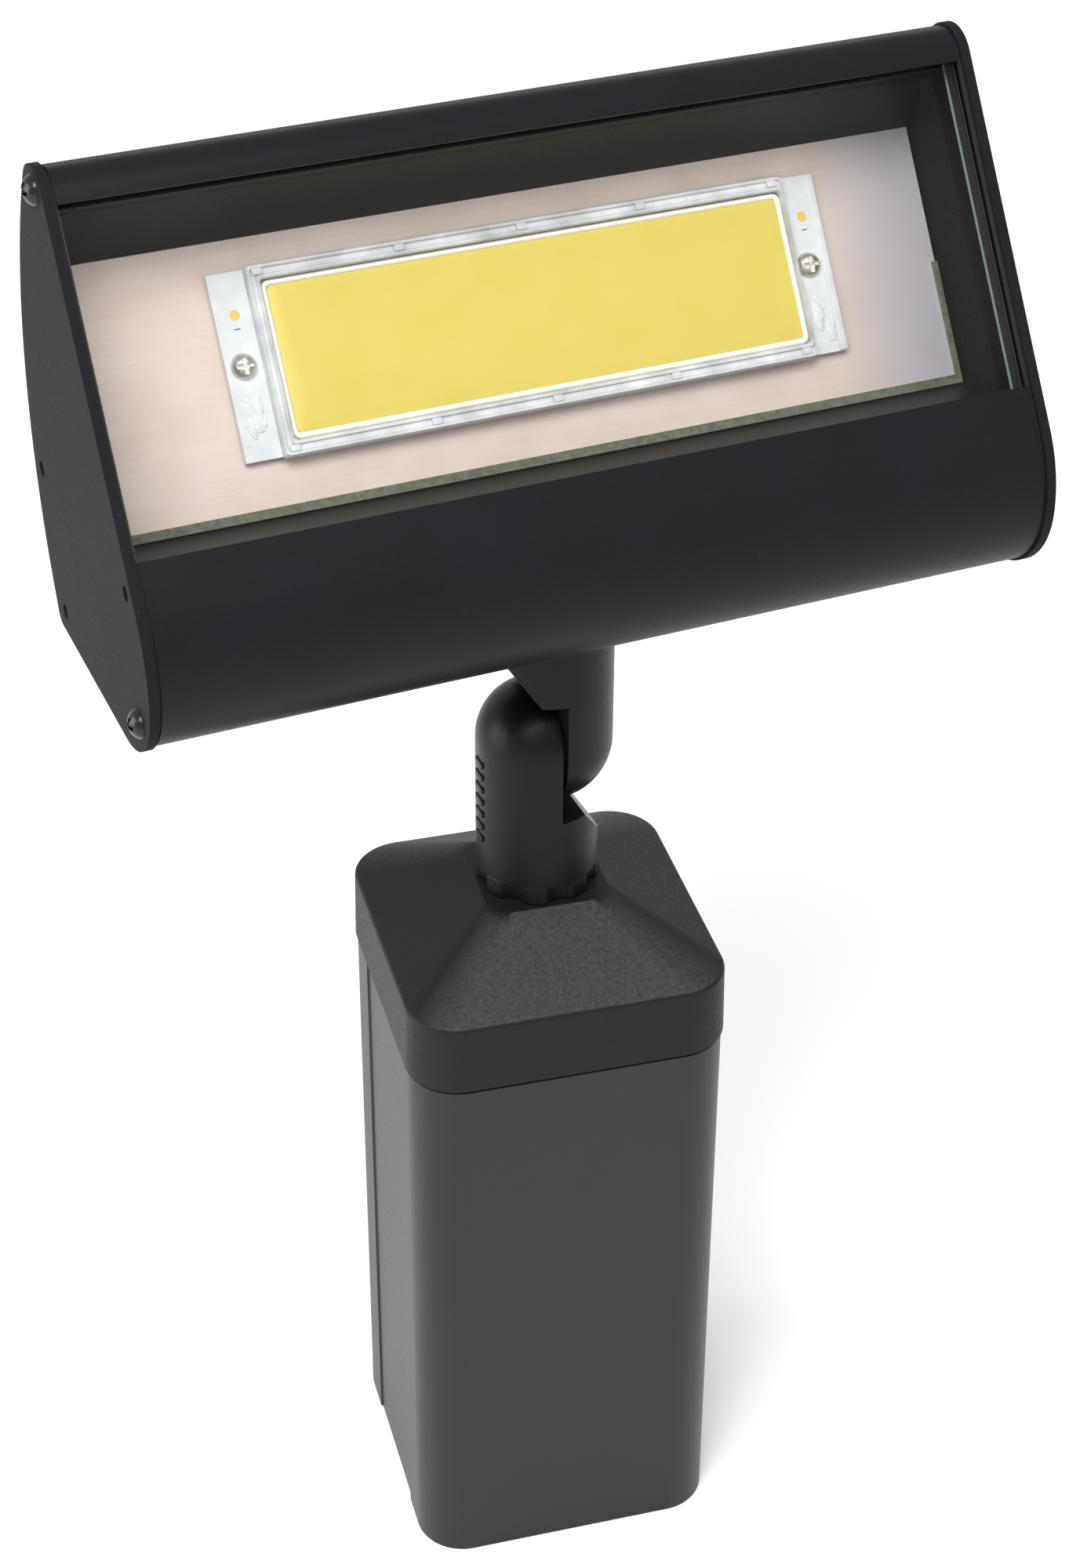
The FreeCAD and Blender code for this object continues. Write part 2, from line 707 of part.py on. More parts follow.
def stem_nut():
    """The hexagon nut inside the head that clamps the floor onto the knuckle."""
    body = new_body("stem_nut", HEAD_FRAME)
    sketch = new_sketch(body, "XY_Plane", "knuckle_reach + floor_gasket_thickness + extrusion_wall")
    hexagon(sketch, "stem_nut_radius")
    circle(sketch, "0", "0", "stem_radius + running_clearance")
    pad(body, sketch, "stem_nut_thickness")
    return body


def pivot_washer():
    """The washer under the pivot bolt's head."""
    bore = "bolt_radius + running_clearance"
    thickness = "washer_thickness"
    return flat_ring("pivot_washer", LOWER_FRAME, "YZ_Plane", "bolt_seat", "washer_radius", bore, thickness)


def knuckle_seal():
    """The seal ring between the knuckle's two mating faces."""
    gap = "upper_offset - upper_face - lower_face"
    return flat_ring(
        "knuckle_seal", LOWER_FRAME, "YZ_Plane", "lower_face", "seal_outer_radius", "seal_inner_radius", gap
    )


def floor_gasket():
    """The thick gasket between the upper half of the knuckle and the head's floor."""
    bore = "stem_radius + running_clearance"
    thickness = "floor_gasket_thickness"
    return flat_ring(
        "floor_gasket", HEAD_FRAME, "XY_Plane", "knuckle_reach", "floor_gasket_radius", bore, thickness
    )


def knuckle_parts():
    """Everything that makes the knuckle, from the cap up to the head's floor."""
    return [
        lower_knuckle(),
        base_locknut(),
        pivot_bolt(),
        pivot_washer(),
        knuckle_seal(),
        upper_knuckle(),
        floor_gasket(),
        stem_nut(),
    ]


# ------------------------------------------------------------------ head shell

def behind(depth):
    """Write a depth behind the aperture line as a place in the slope frame."""
    return f"({depth} - aperture_distance)"


def housing_extrusion():
    """The extruded body of the head: nose, light box, driver bay and screw ports."""
    body = new_body("housing_extrusion", HEAD_FRAME)
    length = f"2 * {HALF_EXTRUSION}"
    outside = new_sketch(body, "YZ_Plane")
    head_outline(outside, "extrusion_inset")
    pad(body, outside, length, both_ways=True)
    inside = new_sketch(body, "YZ_Plane")
    head_outline(inside, "extrusion_inset", "extrusion_wall")
    pocket(body, inside, length, both_ways=True)
    light_box(body, length)
    screw_ports(body, length)
    cut_light_box(body, length)

    stem_hole = new_sketch(body, "XY_Plane", "knuckle_reach")
    circle(stem_hole, "0", "0", "stem_radius + running_clearance")
    pocket(body, stem_hole, "floor_gasket_thickness + extrusion_wall + tray_rib", along_normal=True)
    return body


def light_box(body, length):
    """Fill the space of the light box and its walls, ready to be cut hollow."""
    top = "aperture_high + lens_grip + box_wall"
    bottom = "aperture_low - lens_grip - box_wall"
    back = behind("tray_depth + tray_thickness + tray_rib")
    bend = behind("bend_depth + box_wall / 2")
    corners = [
        (behind("frame_front"), bottom),
        (behind("frame_back"), bottom),
        (bend, "aperture_low - box_wall"),
        (back, "box_low - tray_grip - box_wall"),
        (back, "box_high + tray_grip"),
        (bend, "aperture_high + box_wall"),
        (behind("frame_back"), top),
        (behind("frame_front"), top),
    ]
    walls = new_sketch(body, "YZ_Plane", sloped=True)
    polygon(walls, corners)
    pad(body, walls, length, both_ways=True)


def cut_light_box(body, length):
    """Cut the light box, the lens slot, the tray slot and the window behind the tray."""
    hollow = new_sketch(body, "YZ_Plane", sloped=True)
    mouth = behind("-frame_front")
    corners = [
        (mouth, "aperture_low"),
        (behind("bend_depth"), "aperture_low"),
        (TRAY_FACE, "box_low"),
        (TRAY_FACE, "box_high"),
        (behind("bend_depth"), "aperture_high"),
        (mouth, "aperture_high"),
    ]
    polygon(hollow, corners)
    pocket(body, hollow, length, both_ways=True)

    lens_slot = new_sketch(body, "YZ_Plane", sloped=True)
    slot_end = "lip_depth + lens_gasket_thickness + lens_thickness + slot_gap"
    low = "aperture_low - lens_grip - slot_gap"
    high = "aperture_high + lens_grip + slot_gap"
    rectangle(lens_slot, behind("lip_depth"), behind(slot_end), low, high)
    pocket(body, lens_slot, length, both_ways=True)

    tray_slot = new_sketch(body, "YZ_Plane", sloped=True)
    tray_back = f"{TRAY_FACE} + tray_thickness + slot_gap"
    low = "box_low - tray_grip - slot_gap"
    high = "box_high + tray_grip + slot_gap"
    rectangle(tray_slot, TRAY_FACE, tray_back, low, high)
    pocket(body, tray_slot, length, both_ways=True)

    window = new_sketch(body, "YZ_Plane", sloped=True)
    through = f"{tray_back} + tray_rib + tray_rib"
    rectangle(window, TRAY_FACE, through, "box_low + tray_ledge", "box_high - tray_ledge")
    pocket(body, window, length, both_ways=True)


def screw_ports(body, length):
    """Add the screw bosses along the extrusion and their holes."""
    bosses = new_sketch(body, "YZ_Plane")
    holes = new_sketch(body, "YZ_Plane")
    for name in ("nose", "chin"):
        place = (f"{name}_screw_across", f"{name}_screw_up")
        circle(bosses, *place, "screw_boss_radius")
        circle(holes, *place, THREAD_HOLE)
    for name in ("back", "heel", "lip"):
        place = (f"{name}_port_across", f"{name}_port_up")
        circle(bosses, *place, "port_boss_radius")
        circle(holes, *place, "port_radius")
    pad(body, bosses, length, both_ways=True)
    pocket(body, holes, length, both_ways=True)


def end_plate(side_name, side):
    """One flat end plate, with two screw holes and three open port holes."""
    body = new_body(f"{side_name}_end_plate", HEAD_FRAME)
    start = f"{side} * ({HALF_EXTRUSION} + end_gasket_thickness)"
    outline = new_sketch(body, "YZ_Plane", start)
    head_outline(outline)
    for name in ("nose", "chin"):
        circle(outline, f"{name}_screw_across", f"{name}_screw_up", SCREW_HOLE)
    for name in ("back", "heel", "lip"):
        circle(outline, f"{name}_port_across", f"{name}_port_up", "port_hole_radius")
    pad(body, outline, "end_plate_thickness", backwards=side < 0)
    return body


def end_gasket(side_name, side):
    """The thin gasket between the extrusion and an end plate."""
    body = new_body(f"{side_name}_end_gasket", HEAD_FRAME)
    outline = new_sketch(body, "YZ_Plane", f"{side} * {HALF_EXTRUSION}")
    head_outline(outline, "end_gasket_inset")
    head_outline(outline, "end_gasket_inset", "end_gasket_width")
    pad(body, outline, "end_gasket_thickness", backwards=side < 0)
    return body


def pan_screw(kind):
    """Shape one cross-recessed pan-head screw, head up, seated on Z = 0."""
    head_radius = size(f"{kind}_screw_head_radius")
    head_height = size("screw_head_height")
    length = size(f"{kind}_screw_length")
    dome_radius = (head_radius ** 2 + head_height ** 2) / (2 * head_height)
    dome = Part.makeSphere(dome_radius, Vector(0, 0, head_height - dome_radius))
    head = dome.common(Part.makeCylinder(head_radius, head_height))
    shank = Part.makeCylinder(size("screw_radius"), length, Vector(0, 0, -length))
    screw = head.fuse(shank).removeSplitter()
    recess = (size("recess_length"), size("recess_width"))
    for spans in (recess, recess[::-1]):
        low = Vector(-spans[0] / 2, -spans[1] / 2, head_height - size("recess_depth"))
        screw = screw.cut(Part.makeBox(*spans, head_height, low))
    return screw


def end_screws(side_name, side):
    """The two screws of one end plate."""
    outward = Rotation(Vector(0, 1, 0), 90 * side)
    seat = side * size("head_length") / 2
    screws = []
    for name in ("nose", "chin"):
        place = Vector(seat, size(f"{name}_screw_across"), size(f"{name}_screw_up"))
        screw = pan_screw("end")
        screw.Placement = HEAD_FRAME * Placement(place, outward)
        screws.append(screw)
    return shapes_node(f"{side_name}_end_screws", screws)


def head_ends():
    """End plates with their gaskets and screws, left and right."""
    parts = []
    for side_name, side in SIDES:
        parts += [end_gasket(side_name, side), end_plate(side_name, side), end_screws(side_name, side)]
    return parts


# ------------------------------------------------------------------ lens and light engine

def lens():
    """The flat tempered glass that slides along the slots behind the lips."""
    depth = size("lip_depth", "lens_gasket_thickness") - size("aperture_distance")
    low = Vector(size("slot_gap") - half_extrusion, depth, size("aperture_low") - size("lens_grip"))
    height = "aperture_high - aperture_low + 2 * lens_grip"
    return block("lens", SLOPE_FRAME, low, (f"2 * ({HALF_EXTRUSION} - slot_gap)", "lens_thickness", height))


def lens_gasket():
    """The two clear strips that seal the glass against the lips."""
    depth = size("lip_depth") - size("aperture_distance")
    start = size("slot_gap") - half_extrusion
    low = size("aperture_low") - size("lens_grip")
    high = size("aperture_high", "lens_grip") - size("lens_gasket_width")
    spans = (f"2 * ({HALF_EXTRUSION} - slot_gap)", "lens_gasket_thickness", "lens_gasket_width")
    strips = [
        block(f"lens_gasket_{place}", SLOPE_FRAME, Vector(start, depth, up), spans)
        for place, up in (("low", low), ("high", high))
    ]
    return fuse("lens_gasket", strips)


def engine_place(along, lift, up):
    """Find a place on the light engine: along the head, above the tray, up from its middle."""
    return Vector(along, tray_face - lift, size("engine_height") + up)


def engine_block(name, lift, part):
    """A box of the light engine, whose back is lifted off the tray's face."""
    back = size(f"{part}_thickness") + lift
    start = size(f"{part}_shift") - size(f"{part}_length") / 2
    low = engine_place(start, back, -size(f"{part}_width") / 2)
    return block(name, SLOPE_FRAME, low, (f"{part}_length", f"{part}_thickness", f"{part}_width"))


def engine_hole(name, along, up, radius):
    """A hole through the tray and board, starting well in front of them."""
    front = engine_place(along, size("cover_thickness", "board_thickness", "pad_thickness"), up)
    return cylinder(name, SLOPE_FRAME, front, radius, "3 * tray_thickness + cover_thickness")


def screw_along(side):
    """How far along the head a board screw stands."""
    return size("board_screw_shift") + side * size("board_screw_reach")


def blob_along(side):
    """How far along the head a lead comes through to the board."""
    return size("board_shift") + side * size("blob_reach")


def tray():
    """The brushed plate across the light box, with screw and lead holes."""
    low = Vector(size("slot_gap") - half_extrusion, tray_face, size("box_low") - size("tray_grip"))
    spans = (f"2 * ({HALF_EXTRUSION} - slot_gap)", "tray_thickness", "box_high - box_low + 2 * tray_grip")
    sheet_metal = block("tray_sheet", SLOPE_FRAME, low, spans)
    holes = []
    for name, side in SIDES:
        holes.append(engine_hole(f"tray_{name}_screw_hole", screw_along(side), 0, THREAD_HOLE))
        lead_hole = engine_hole(
            f"tray_{name}_lead_hole", blob_along(side), -size("blob_down"), "lead_hole_radius"
        )
        holes.append(lead_hole)
    return cut("tray", sheet_metal, holes)


def led_board():
    """The white circuit board with an ear at each end for its screw."""
    plain = engine_block("led_board_sheet", size("pad_thickness"), "board")
    holes = [engine_hole(f"led_board_{name}_hole", screw_along(side), 0, SCREW_HOLE) for name, side in SIDES]
    return cut("led_board", plain, holes)


def board_lift():
    """How far the board's front face stands above the tray."""
    return size("pad_thickness", "board_thickness")


def engine_frame(node, outer, inner):
    """A rectangular frame on the board's front face."""
    thickness = f"{outer}_thickness"
    whole = engine_block(f"{node}_whole", board_lift(), outer)
    start = size(f"{inner}_shift") - size(f"{inner}_length") / 2
    low = engine_place(start, board_lift() + size(thickness), -size(f"{inner}_width") / 2)
    opening = block(f"{node}_opening", SLOPE_FRAME, low, (f"{inner}_length", thickness, f"{inner}_width"))
    return cut(node, whole, [opening])


def board_screws():
    """The two stainless pan-head screws through the board's ears."""
    forward = Rotation(Vector(1, 0, 0), 90)
    screws = []
    for _, side in SIDES:
        screw = pan_screw("board")
        seat = engine_place(screw_along(side), board_lift(), 0)
        screw.Placement = SLOPE_FRAME * Placement(seat, forward)
        screws.append(screw)
    return shapes_node("board_screws", screws)


def ear_discs(node, reach, up, radius, thickness):
    """A small round piece on each ear of the board."""
    forward = Rotation(Vector(1, 0, 0), 90)
    discs = []
    for _, side in SIDES:
        seat = engine_place(size("board_shift") + side * reach, board_lift(), up)
        disc = Part.makeCylinder(radius, thickness)
        disc.Placement = SLOPE_FRAME * Placement(seat, forward)
        discs.append(disc)
    return shapes_node(node, discs)


def test_pads():
    """The gold pads above the board's screws."""
    radius = size("test_pad_radius")
    thickness = size("test_pad_thickness")
    return ear_discs("test_pads", size("test_pad_reach"), size("test_pad_up"), radius, thickness)


def joint_sealant():
    """The blobs of silicone over the leads' solder joints."""
    down = -size("blob_down")
    return ear_discs("joint_sealant", size("blob_reach"), down, size("blob_radius"), size("blob_height"))


def tray_sealant():
    """The clear bead along the tray's lower edge and up its right-hand end."""
    half = half_extrusion - size("slot_gap")
    depth = tray_face - size("sealant_height")
    low = size("box_low")
    along = block(
        "tray_sealant_along", SLOPE_FRAME, Vector(-half, depth, low),
        (f"2 * ({HALF_EXTRUSION} - slot_gap)", "sealant_height", "sealant_width"),
    )
    up = block(
        "tray_sealant_up", SLOPE_FRAME, Vector(half - size("sealant_width") / 2, depth, low),
        ("sealant_width / 2", "sealant_height", "sealant_rise"),
    )
    return fuse("tray_sealant", [along, up])


def engine_parts():
    """The lens, the tray and the light engine on it."""
    return [
        lens(),
        lens_gasket(),
        tray(),
        tray_sealant(),
        engine_block("thermal_pad", 0, "pad"),
        led_board(),
        engine_block("led_phosphor", board_lift(), "phosphor"),
        engine_frame("led_dam", "dam", "phosphor"),
        engine_frame("led_cover", "cover", "dam"),
        board_screws(),
        test_pads(),
        joint_sealant(),
    ]


# ------------------------------------------------------------------ driver

def led_driver():
    """The potted driver that lies on the floor of the head behind the tray."""
    floor = inner_floor + size("driver_tape_thickness")
    low = Vector(size("driver_start"), -size("driver_front"), floor)
    return block("led_driver", HEAD_FRAME, low, ("driver_length", "driver_width", "driver_height"))


def driver_tape():
    """The foam tape that holds the driver down."""
    low = Vector(size("driver_start"), -size("driver_front"), inner_floor)
    return block("driver_tape", HEAD_FRAME, low, ("driver_length", "driver_width", "driver_tape_thickness"))


def bent_wire(points, bend):
    """Make a path of straight runs joined by arcs of one radius."""
    edges = []
    here = points[0]
    for corner, after in zip(points[1:], points[2:]):
        arriving = (corner - here).normalize()
        leaving = (after - corner).normalize()
        half_turn = arriving.getAngle(leaving) / 2
        setback = bend * math.tan(half_turn)
        start = corner - arriving * setback
        end = corner + leaving * setback
        bisector = (leaving - arriving).normalize()
        middle = corner + bisector * (bend / math.cos(half_turn) - bend)
        edges.append(Part.LineSegment(here, start).toShape())
        edges.append(Part.Arc(start, middle, end).toShape())
        here = end
    edges.append(Part.LineSegment(here, points[-1]).toShape())
    return Part.Wire(edges)


def led_leads():
    """The two leads from the driver's ends through the tray to the ends of the board."""
    radius = size("lead_radius")
    run = size("lead_run")
    height = inner_floor + size("lead_height")
    to_head = HEAD_FRAME.inverse() * SLOPE_FRAME
    leads = []
    for side, driver_end in ((-1, size("driver_start")), (1, size("driver_start", "driver_length"))):
        start = Vector(driver_end, side * run / 2, height)
        turn_out = start + Vector(side * run, 0, 0)
        end = engine_place(blob_along(side), size("pad_thickness"), -size("blob_down"))
        turn_in = end + Vector(0, size("tray_thickness", "pad_thickness") + run, 0)
        inside = [start, turn_out, to_head.multVec(turn_in), to_head.multVec(end)]
        points = [HEAD_FRAME.multVec(point) for point in inside]
        path = bent_wire(points, size("lead_bend"))
        section = Part.Wire(Part.makeCircle(radius, points[0], points[1] - points[0]))
        leads.append(path.makePipeShell([section], True, False))
    return shapes_node("led_leads", leads)


# ------------------------------------------------------------------ the whole light

def build():
    """Make every piece and return the finished ones."""
    parts = [post_tube(), cap_gasket(), post_cap()]
    parts += knuckle_parts()
    parts.append(housing_extrusion())
    parts += head_ends()
    parts += engine_parts()
    parts += [led_driver(), driver_tape(), led_leads()]
    doc.recompute()
    return parts


def check(parts):
    """Stop if any object failed or any piece is empty or broken."""
    for item in doc.Objects:
        if {"Invalid", "Error"} & set(item.State):
            raise RuntimeError(f"{item.Name} failed: {item.State}")
    for part in parts:
        if part.Shape.isNull() or not part.Shape.isValid() or not part.Shape.Solids:
            raise RuntimeError(f"{part.Label} has no valid solid")


def export(parts):
    """Write each piece to a STEP file named after its node."""
    os.makedirs("parts", exist_ok=True)
    for part in parts:
        part.Shape.exportStep(f"parts/{part.Label}.step")
        print(f"{part.Label}: {len(part.Shape.Solids)} solid(s), {part.Shape.Volume / 1000:.2f} cm3")


pieces = build()
check(pieces)
export(pieces)
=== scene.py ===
"""Looks for the landscape floodlight: camera, studio, materials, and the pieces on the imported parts.

Metres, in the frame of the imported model: +Z up, the origin at the centre of the post's open foot,
and the light facing -Y.
"""
import json
import math
import random

import bmesh
import bpy
from mathutils import Matrix, Vector, noise


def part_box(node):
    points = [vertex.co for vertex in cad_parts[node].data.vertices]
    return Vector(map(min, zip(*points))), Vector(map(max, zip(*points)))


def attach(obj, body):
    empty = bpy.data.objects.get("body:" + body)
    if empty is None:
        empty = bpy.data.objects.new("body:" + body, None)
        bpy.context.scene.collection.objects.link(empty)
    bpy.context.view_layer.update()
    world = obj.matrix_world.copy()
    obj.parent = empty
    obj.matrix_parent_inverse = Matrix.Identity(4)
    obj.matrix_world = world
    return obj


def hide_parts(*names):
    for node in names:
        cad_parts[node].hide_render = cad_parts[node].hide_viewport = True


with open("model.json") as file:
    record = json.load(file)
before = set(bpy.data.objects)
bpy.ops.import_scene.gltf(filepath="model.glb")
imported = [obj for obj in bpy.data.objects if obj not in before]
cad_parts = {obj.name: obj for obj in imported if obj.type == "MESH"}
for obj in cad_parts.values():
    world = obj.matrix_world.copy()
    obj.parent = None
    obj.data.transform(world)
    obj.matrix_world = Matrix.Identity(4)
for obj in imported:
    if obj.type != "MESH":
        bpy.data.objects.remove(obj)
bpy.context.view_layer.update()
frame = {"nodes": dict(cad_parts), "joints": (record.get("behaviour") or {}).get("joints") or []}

MM = 0.001

JOINTS = {joint["name"]: joint for joint in frame["joints"]}
PIVOT = Vector(JOINTS["tilt"]["pos_m"])
TILT_AXIS = Vector(JOINTS["tilt"]["axis"]).normalized()
RANDOM = random.Random(7)

# looks up and forward, as the lens does, to find the outer face of a flat node
LENS_FACING = Vector((0, -0.8, 0.6))
# the way that the cap's front slope faces, where painted light goes on as lighter speckles
LIT_SLOPE_FACING = (0, -0.49, 0.87)

CORNER_STEPS = 6
ARCH_STEPS = 8
DAM_WIDTH = 1.5 * MM
DAM_CORNER = 1.2 * MM
# the thin dark strip round the dam is painted shadow
SHADOW_LINE_WIDTH = 0.2 * MM
SHADOW_LINE_HEIGHT = 0.12 * MM
PHOSPHOR_CORNER = 0.9 * MM
COVER_CORNER = 0.9 * MM
RIDGE_WIDTH = 2.0 * MM
RIDGE_HEIGHT = 0.8 * MM
TEST_PAD_RADIUS = 1.1 * MM
MARK_DROP = 3.0 * MM
BUMPS_PER_EAR = 9
LOBES_PER_EAR = 4
SMEAR_HALF_WIDTH = 2.6 * MM
LENS_CHAMFER = 0.4 * MM
RIB_COUNT = 7
RIB_PITCH = 3.4 * MM
FIRST_RIB_DROP = 4 * MM

CAMERA_PLACE = (-0.1574, -0.5765, 0.6184)
CAMERA_AZIMUTH = math.radians(15.22)
CAMERA_PITCH = math.radians(34.37)
CAMERA_ROLL = math.radians(-0.28)
CAMERA_LENS = 71.6
WORLD_STRENGTH = 0.85
FLOOR_HALF_WIDTH = 6


# ------------------------------------------------------------------ places

class Block:
    """The own frame of a flat node on the head: X along the head, Y up the slope, Z out of the face."""

    def __init__(self, node):
        mesh = frame["nodes"][node].data
        normals = (face.normal for face in mesh.polygons)
        outward = max(normals, key=lambda normal: normal.dot(LENS_FACING)).copy()
        upward = outward.cross(TILT_AXIS).normalized()
        turn = Matrix((TILT_AXIS, upward, outward)).transposed()
        local = [turn.inverted() @ vertex.co for vertex in mesh.vertices]
        low = Vector([min(point[axis] for point in local) for axis in range(3)])
        high = Vector([max(point[axis] for point in local) for axis in range(3)])
        self.half = (high - low) / 2
        self.matrix = Matrix.Translation(turn @ ((low + high) / 2)) @ turn.to_4x4()

    def at(self, across, up, out):
        """A place in the block's frame, in metres from its centre, in the model's frame."""
        return self.matrix @ Vector((across, up, out))


# ------------------------------------------------------------------ mesh helpers

def new_object(name, data):
    """Link a mesh, lamp or camera to the scene as an object."""
    thing = bpy.data.objects.new(name, data)
    bpy.context.scene.collection.objects.link(thing)
    return thing


def mesh_object(name, builder, smooth_angle=35):
    """Turn a bmesh into a smooth-shaded object whose hard edges stay crisp, and free the bmesh."""
    bmesh.ops.recalc_face_normals(builder, faces=builder.faces)
    for face in builder.faces:
        face.smooth = True
    mesh = bpy.data.meshes.new(name)
    builder.to_mesh(mesh)
    builder.free()
    mesh.set_sharp_from_angle(angle=math.radians(smooth_angle))
    return new_object(name, mesh)


def finish_piece(piece, body, slot, material, *replaced):
    """Give a piece its body, its material and the CAD nodes that it stands for."""
    if material is not None:
        piece.data.materials.clear()
        piece.data.materials.append(material)
    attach(piece, body)
    if replaced:
        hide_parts(*replaced)
    return piece


def round_edges(builder, width):
    """Round the hard edges of a closed mesh."""
    limit = math.radians(28)
    closed = [edge for edge in builder.edges if len(edge.link_faces) == 2]
    hard = [edge for edge in closed if edge.calc_face_angle(0) > limit]
    bmesh.ops.bevel(
        builder, geom=hard, offset=width, segments=2, profile=0.5, affect="EDGES", clamp_overlap=True
    )


def softened(node, body, slot, material, width):
    """A copy of a CAD node with its hard edges rounded, which stands for that node."""
    builder = bmesh.new()
    builder.from_mesh(frame["nodes"][node].data)
    bmesh.ops.remove_doubles(builder, verts=builder.verts, dist=0.002 * MM)
    bmesh.ops.dissolve_limit(
        builder, angle_limit=math.radians(0.6), use_dissolve_boundaries=False,
        verts=builder.verts, edges=builder.edges,
    )
    round_edges(builder, width)
    piece = mesh_object(f"{node}_finished", builder)
    weigh_normals(piece)
    return finish_piece(piece, body, slot, material, node)


def merge(builder, part):
    """Add one mesh under construction to another, and free it."""
    scratch = bpy.data.meshes.new("scratch")
    part.to_mesh(scratch)
    part.free()
    builder.from_mesh(scratch)
    bpy.data.meshes.remove(scratch)


def weigh_normals(piece):
    """Keep flat faces flat where they meet rounded edges."""
    modifier = piece.modifiers.new("weighted", "WEIGHTED_NORMAL")
    modifier.keep_sharp = True
    modifier.weight = 80


# ------------------------------------------------------------------ material helpers

class Shade:
    """A node material under construction."""

    def __init__(self, name):
        self.material = bpy.data.materials.new(name)
        self.material.use_nodes = True
        self.nodes = self.material.node_tree.nodes
        self.links = self.material.node_tree.links
        self.shader = self.nodes["Principled BSDF"]
        self.place = self.add("ShaderNodeTexCoord").outputs["Object"]

    def add(self, kind, **inputs):
        """Add a node and set or link its inputs by name."""
        node = self.nodes.new(kind)
        for name, value in inputs.items():
            self.feed(node.inputs[name.replace("_", " ")], value)
        return node

    def feed(self, socket, value):
        """Link a socket, or set it to a plain value."""
        if isinstance(value, bpy.types.NodeSocket):
            self.links.new(value, socket)
        else:
            socket.default_value = value

    def set(self, **inputs):
        """Set or link inputs of the Principled shader."""
        for name, value in inputs.items():
            self.feed(self.shader.inputs[name.replace("_", " ")], value)

    def noise(self, cell, detail=2.0, place=None):
        """Noise whose blotches are about `cell` metres across."""
        node = self.add("ShaderNodeTexNoise", Vector=place or self.place, Scale=1 / cell, Detail=detail)
        return node.outputs["Fac"]

    def between(self, value, low, high, from_low=0.3, from_high=0.7):
        """Map a value, by default noise, to a range of numbers."""
        limits = {"From_Min": from_low, "From_Max": from_high, "To_Min": low, "To_Max": high}
        return self.add("ShaderNodeMapRange", Value=value, **limits).outputs["Result"]

    def mix(self, factor, first, second):
        """Mix two colours."""
        node = self.nodes.new("ShaderNodeMix")
        node.data_type = "RGBA"
        sockets = [socket for socket in node.inputs if socket.enabled]
        for socket, value in zip(sockets, (factor, first, second)):
            self.feed(socket, value)
        return next(socket for socket in node.outputs if socket.enabled)

    def bump(self, height, strength, distance):
        """Bump from a height."""
        node = self.add("ShaderNodeBump", Height=height, Strength=strength, Distance=distance)
        return node.outputs["Normal"]


def colour(hexadecimal):
    """Linear colour from an sRGB hex code, with alpha."""
    channels = [int(hexadecimal[place:place + 2], 16) / 255 for place in (0, 2, 4)]
    linear = [c / 12.92 if c <= 0.04045 else ((c + 0.055) / 1.055) ** 2.4 for c in channels]
    return (*linear, 1.0)


def tinted(base, share):
    """The same colour, lighter or darker."""
    return (*(channel * share for channel in base[:3]), 1.0)


# ------------------------------------------------------------------ materials

def powder_coat(name, base, gloss, sheen, grain, height, spread=0.12, painted_light=None):
    """Textured powder coat: a fine grain, a slow change of tone and gloss, and perhaps painted light, lighter
    speckles on faces towards the front and the sky.
    """
    shade = Shade(name)
    fine = shade.noise(grain, detail=3)
    broad = shade.noise(22 * MM, detail=4)
    tone = shade.mix(shade.between(broad, 0, 1), tinted(base, 1 - spread), tinted(base, 1 + spread))
    speck = shade.between(shade.noise(0.8 * MM), 0, 1, 0.62, 0.72)
    coat = shade.mix(speck, tone, tinted(base, 1.5))
    shade.set(
        # painted light: the coat turns lighter in speckles where it faces the front and the sky
        Base_Color=coat if painted_light is None else shade.mix(painted_light_share(shade), coat, painted_light),
        Roughness=shade.between(fine, gloss - 0.05, gloss + 0.08),
        Specular_IOR_Level=sheen,
        Normal=shade.bump(fine, 0.6, height),
    )
    return shade.material


def painted_light_share(shade):
    """Painted light: how much lighter a place is painted, in fine speckles, and only where it faces the front
    and the sky.
    """
    facing = shade.nodes.new("ShaderNodeVectorMath")
    facing.operation = "DOT_PRODUCT"
    shade.feed(facing.inputs[0], shade.add("ShaderNodeTexCoord").outputs["Normal"])
    facing.inputs[1].default_value = LIT_SLOPE_FACING
    product = shade.nodes.new("ShaderNodeMath")
    product.operation = "MULTIPLY"
    shade.feed(product.inputs[0], shade.between(facing.outputs["Value"], 0, 1, 0.86, 1.0))
    shade.feed(product.inputs[1], shade.noise(0.9 * MM, detail=4))
    return product.outputs[0]


def rubber(name, base):
    """Matt rubber or silicone with a faint moulded grain."""
    shade = Shade(name)
    grain = shade.noise(0.6 * MM, detail=3)
    tone = shade.mix(shade.between(shade.noise(7 * MM), 0, 1), tinted(base, 0.8), tinted(base, 1.2))
    shade.set(Base_Color=tone, Roughness=0.75, Normal=shade.bump(grain, 0.4, 0.04 * MM))
    return shade.material


def along(shade, block, stretch):
    """Texture coordinates in a block's own frame, squeezed along X so that noise turns into streaks."""
    inverse = block.matrix.inverted()
    turned = shade.nodes.new("ShaderNodeMapping")
    turned.inputs["Location"].default_value = inverse.translation
    turned.inputs["Rotation"].default_value = inverse.to_euler()
    shade.links.new(shade.place, turned.inputs["Vector"])
    squeezed = shade.nodes.new("ShaderNodeMapping")
    squeezed.inputs["Scale"].default_value = (1 / stretch, 1, 1)
    shade.links.new(turned.outputs["Vector"], squeezed.inputs["Vector"])
    return turned.outputs["Vector"], squeezed.outputs["Vector"]


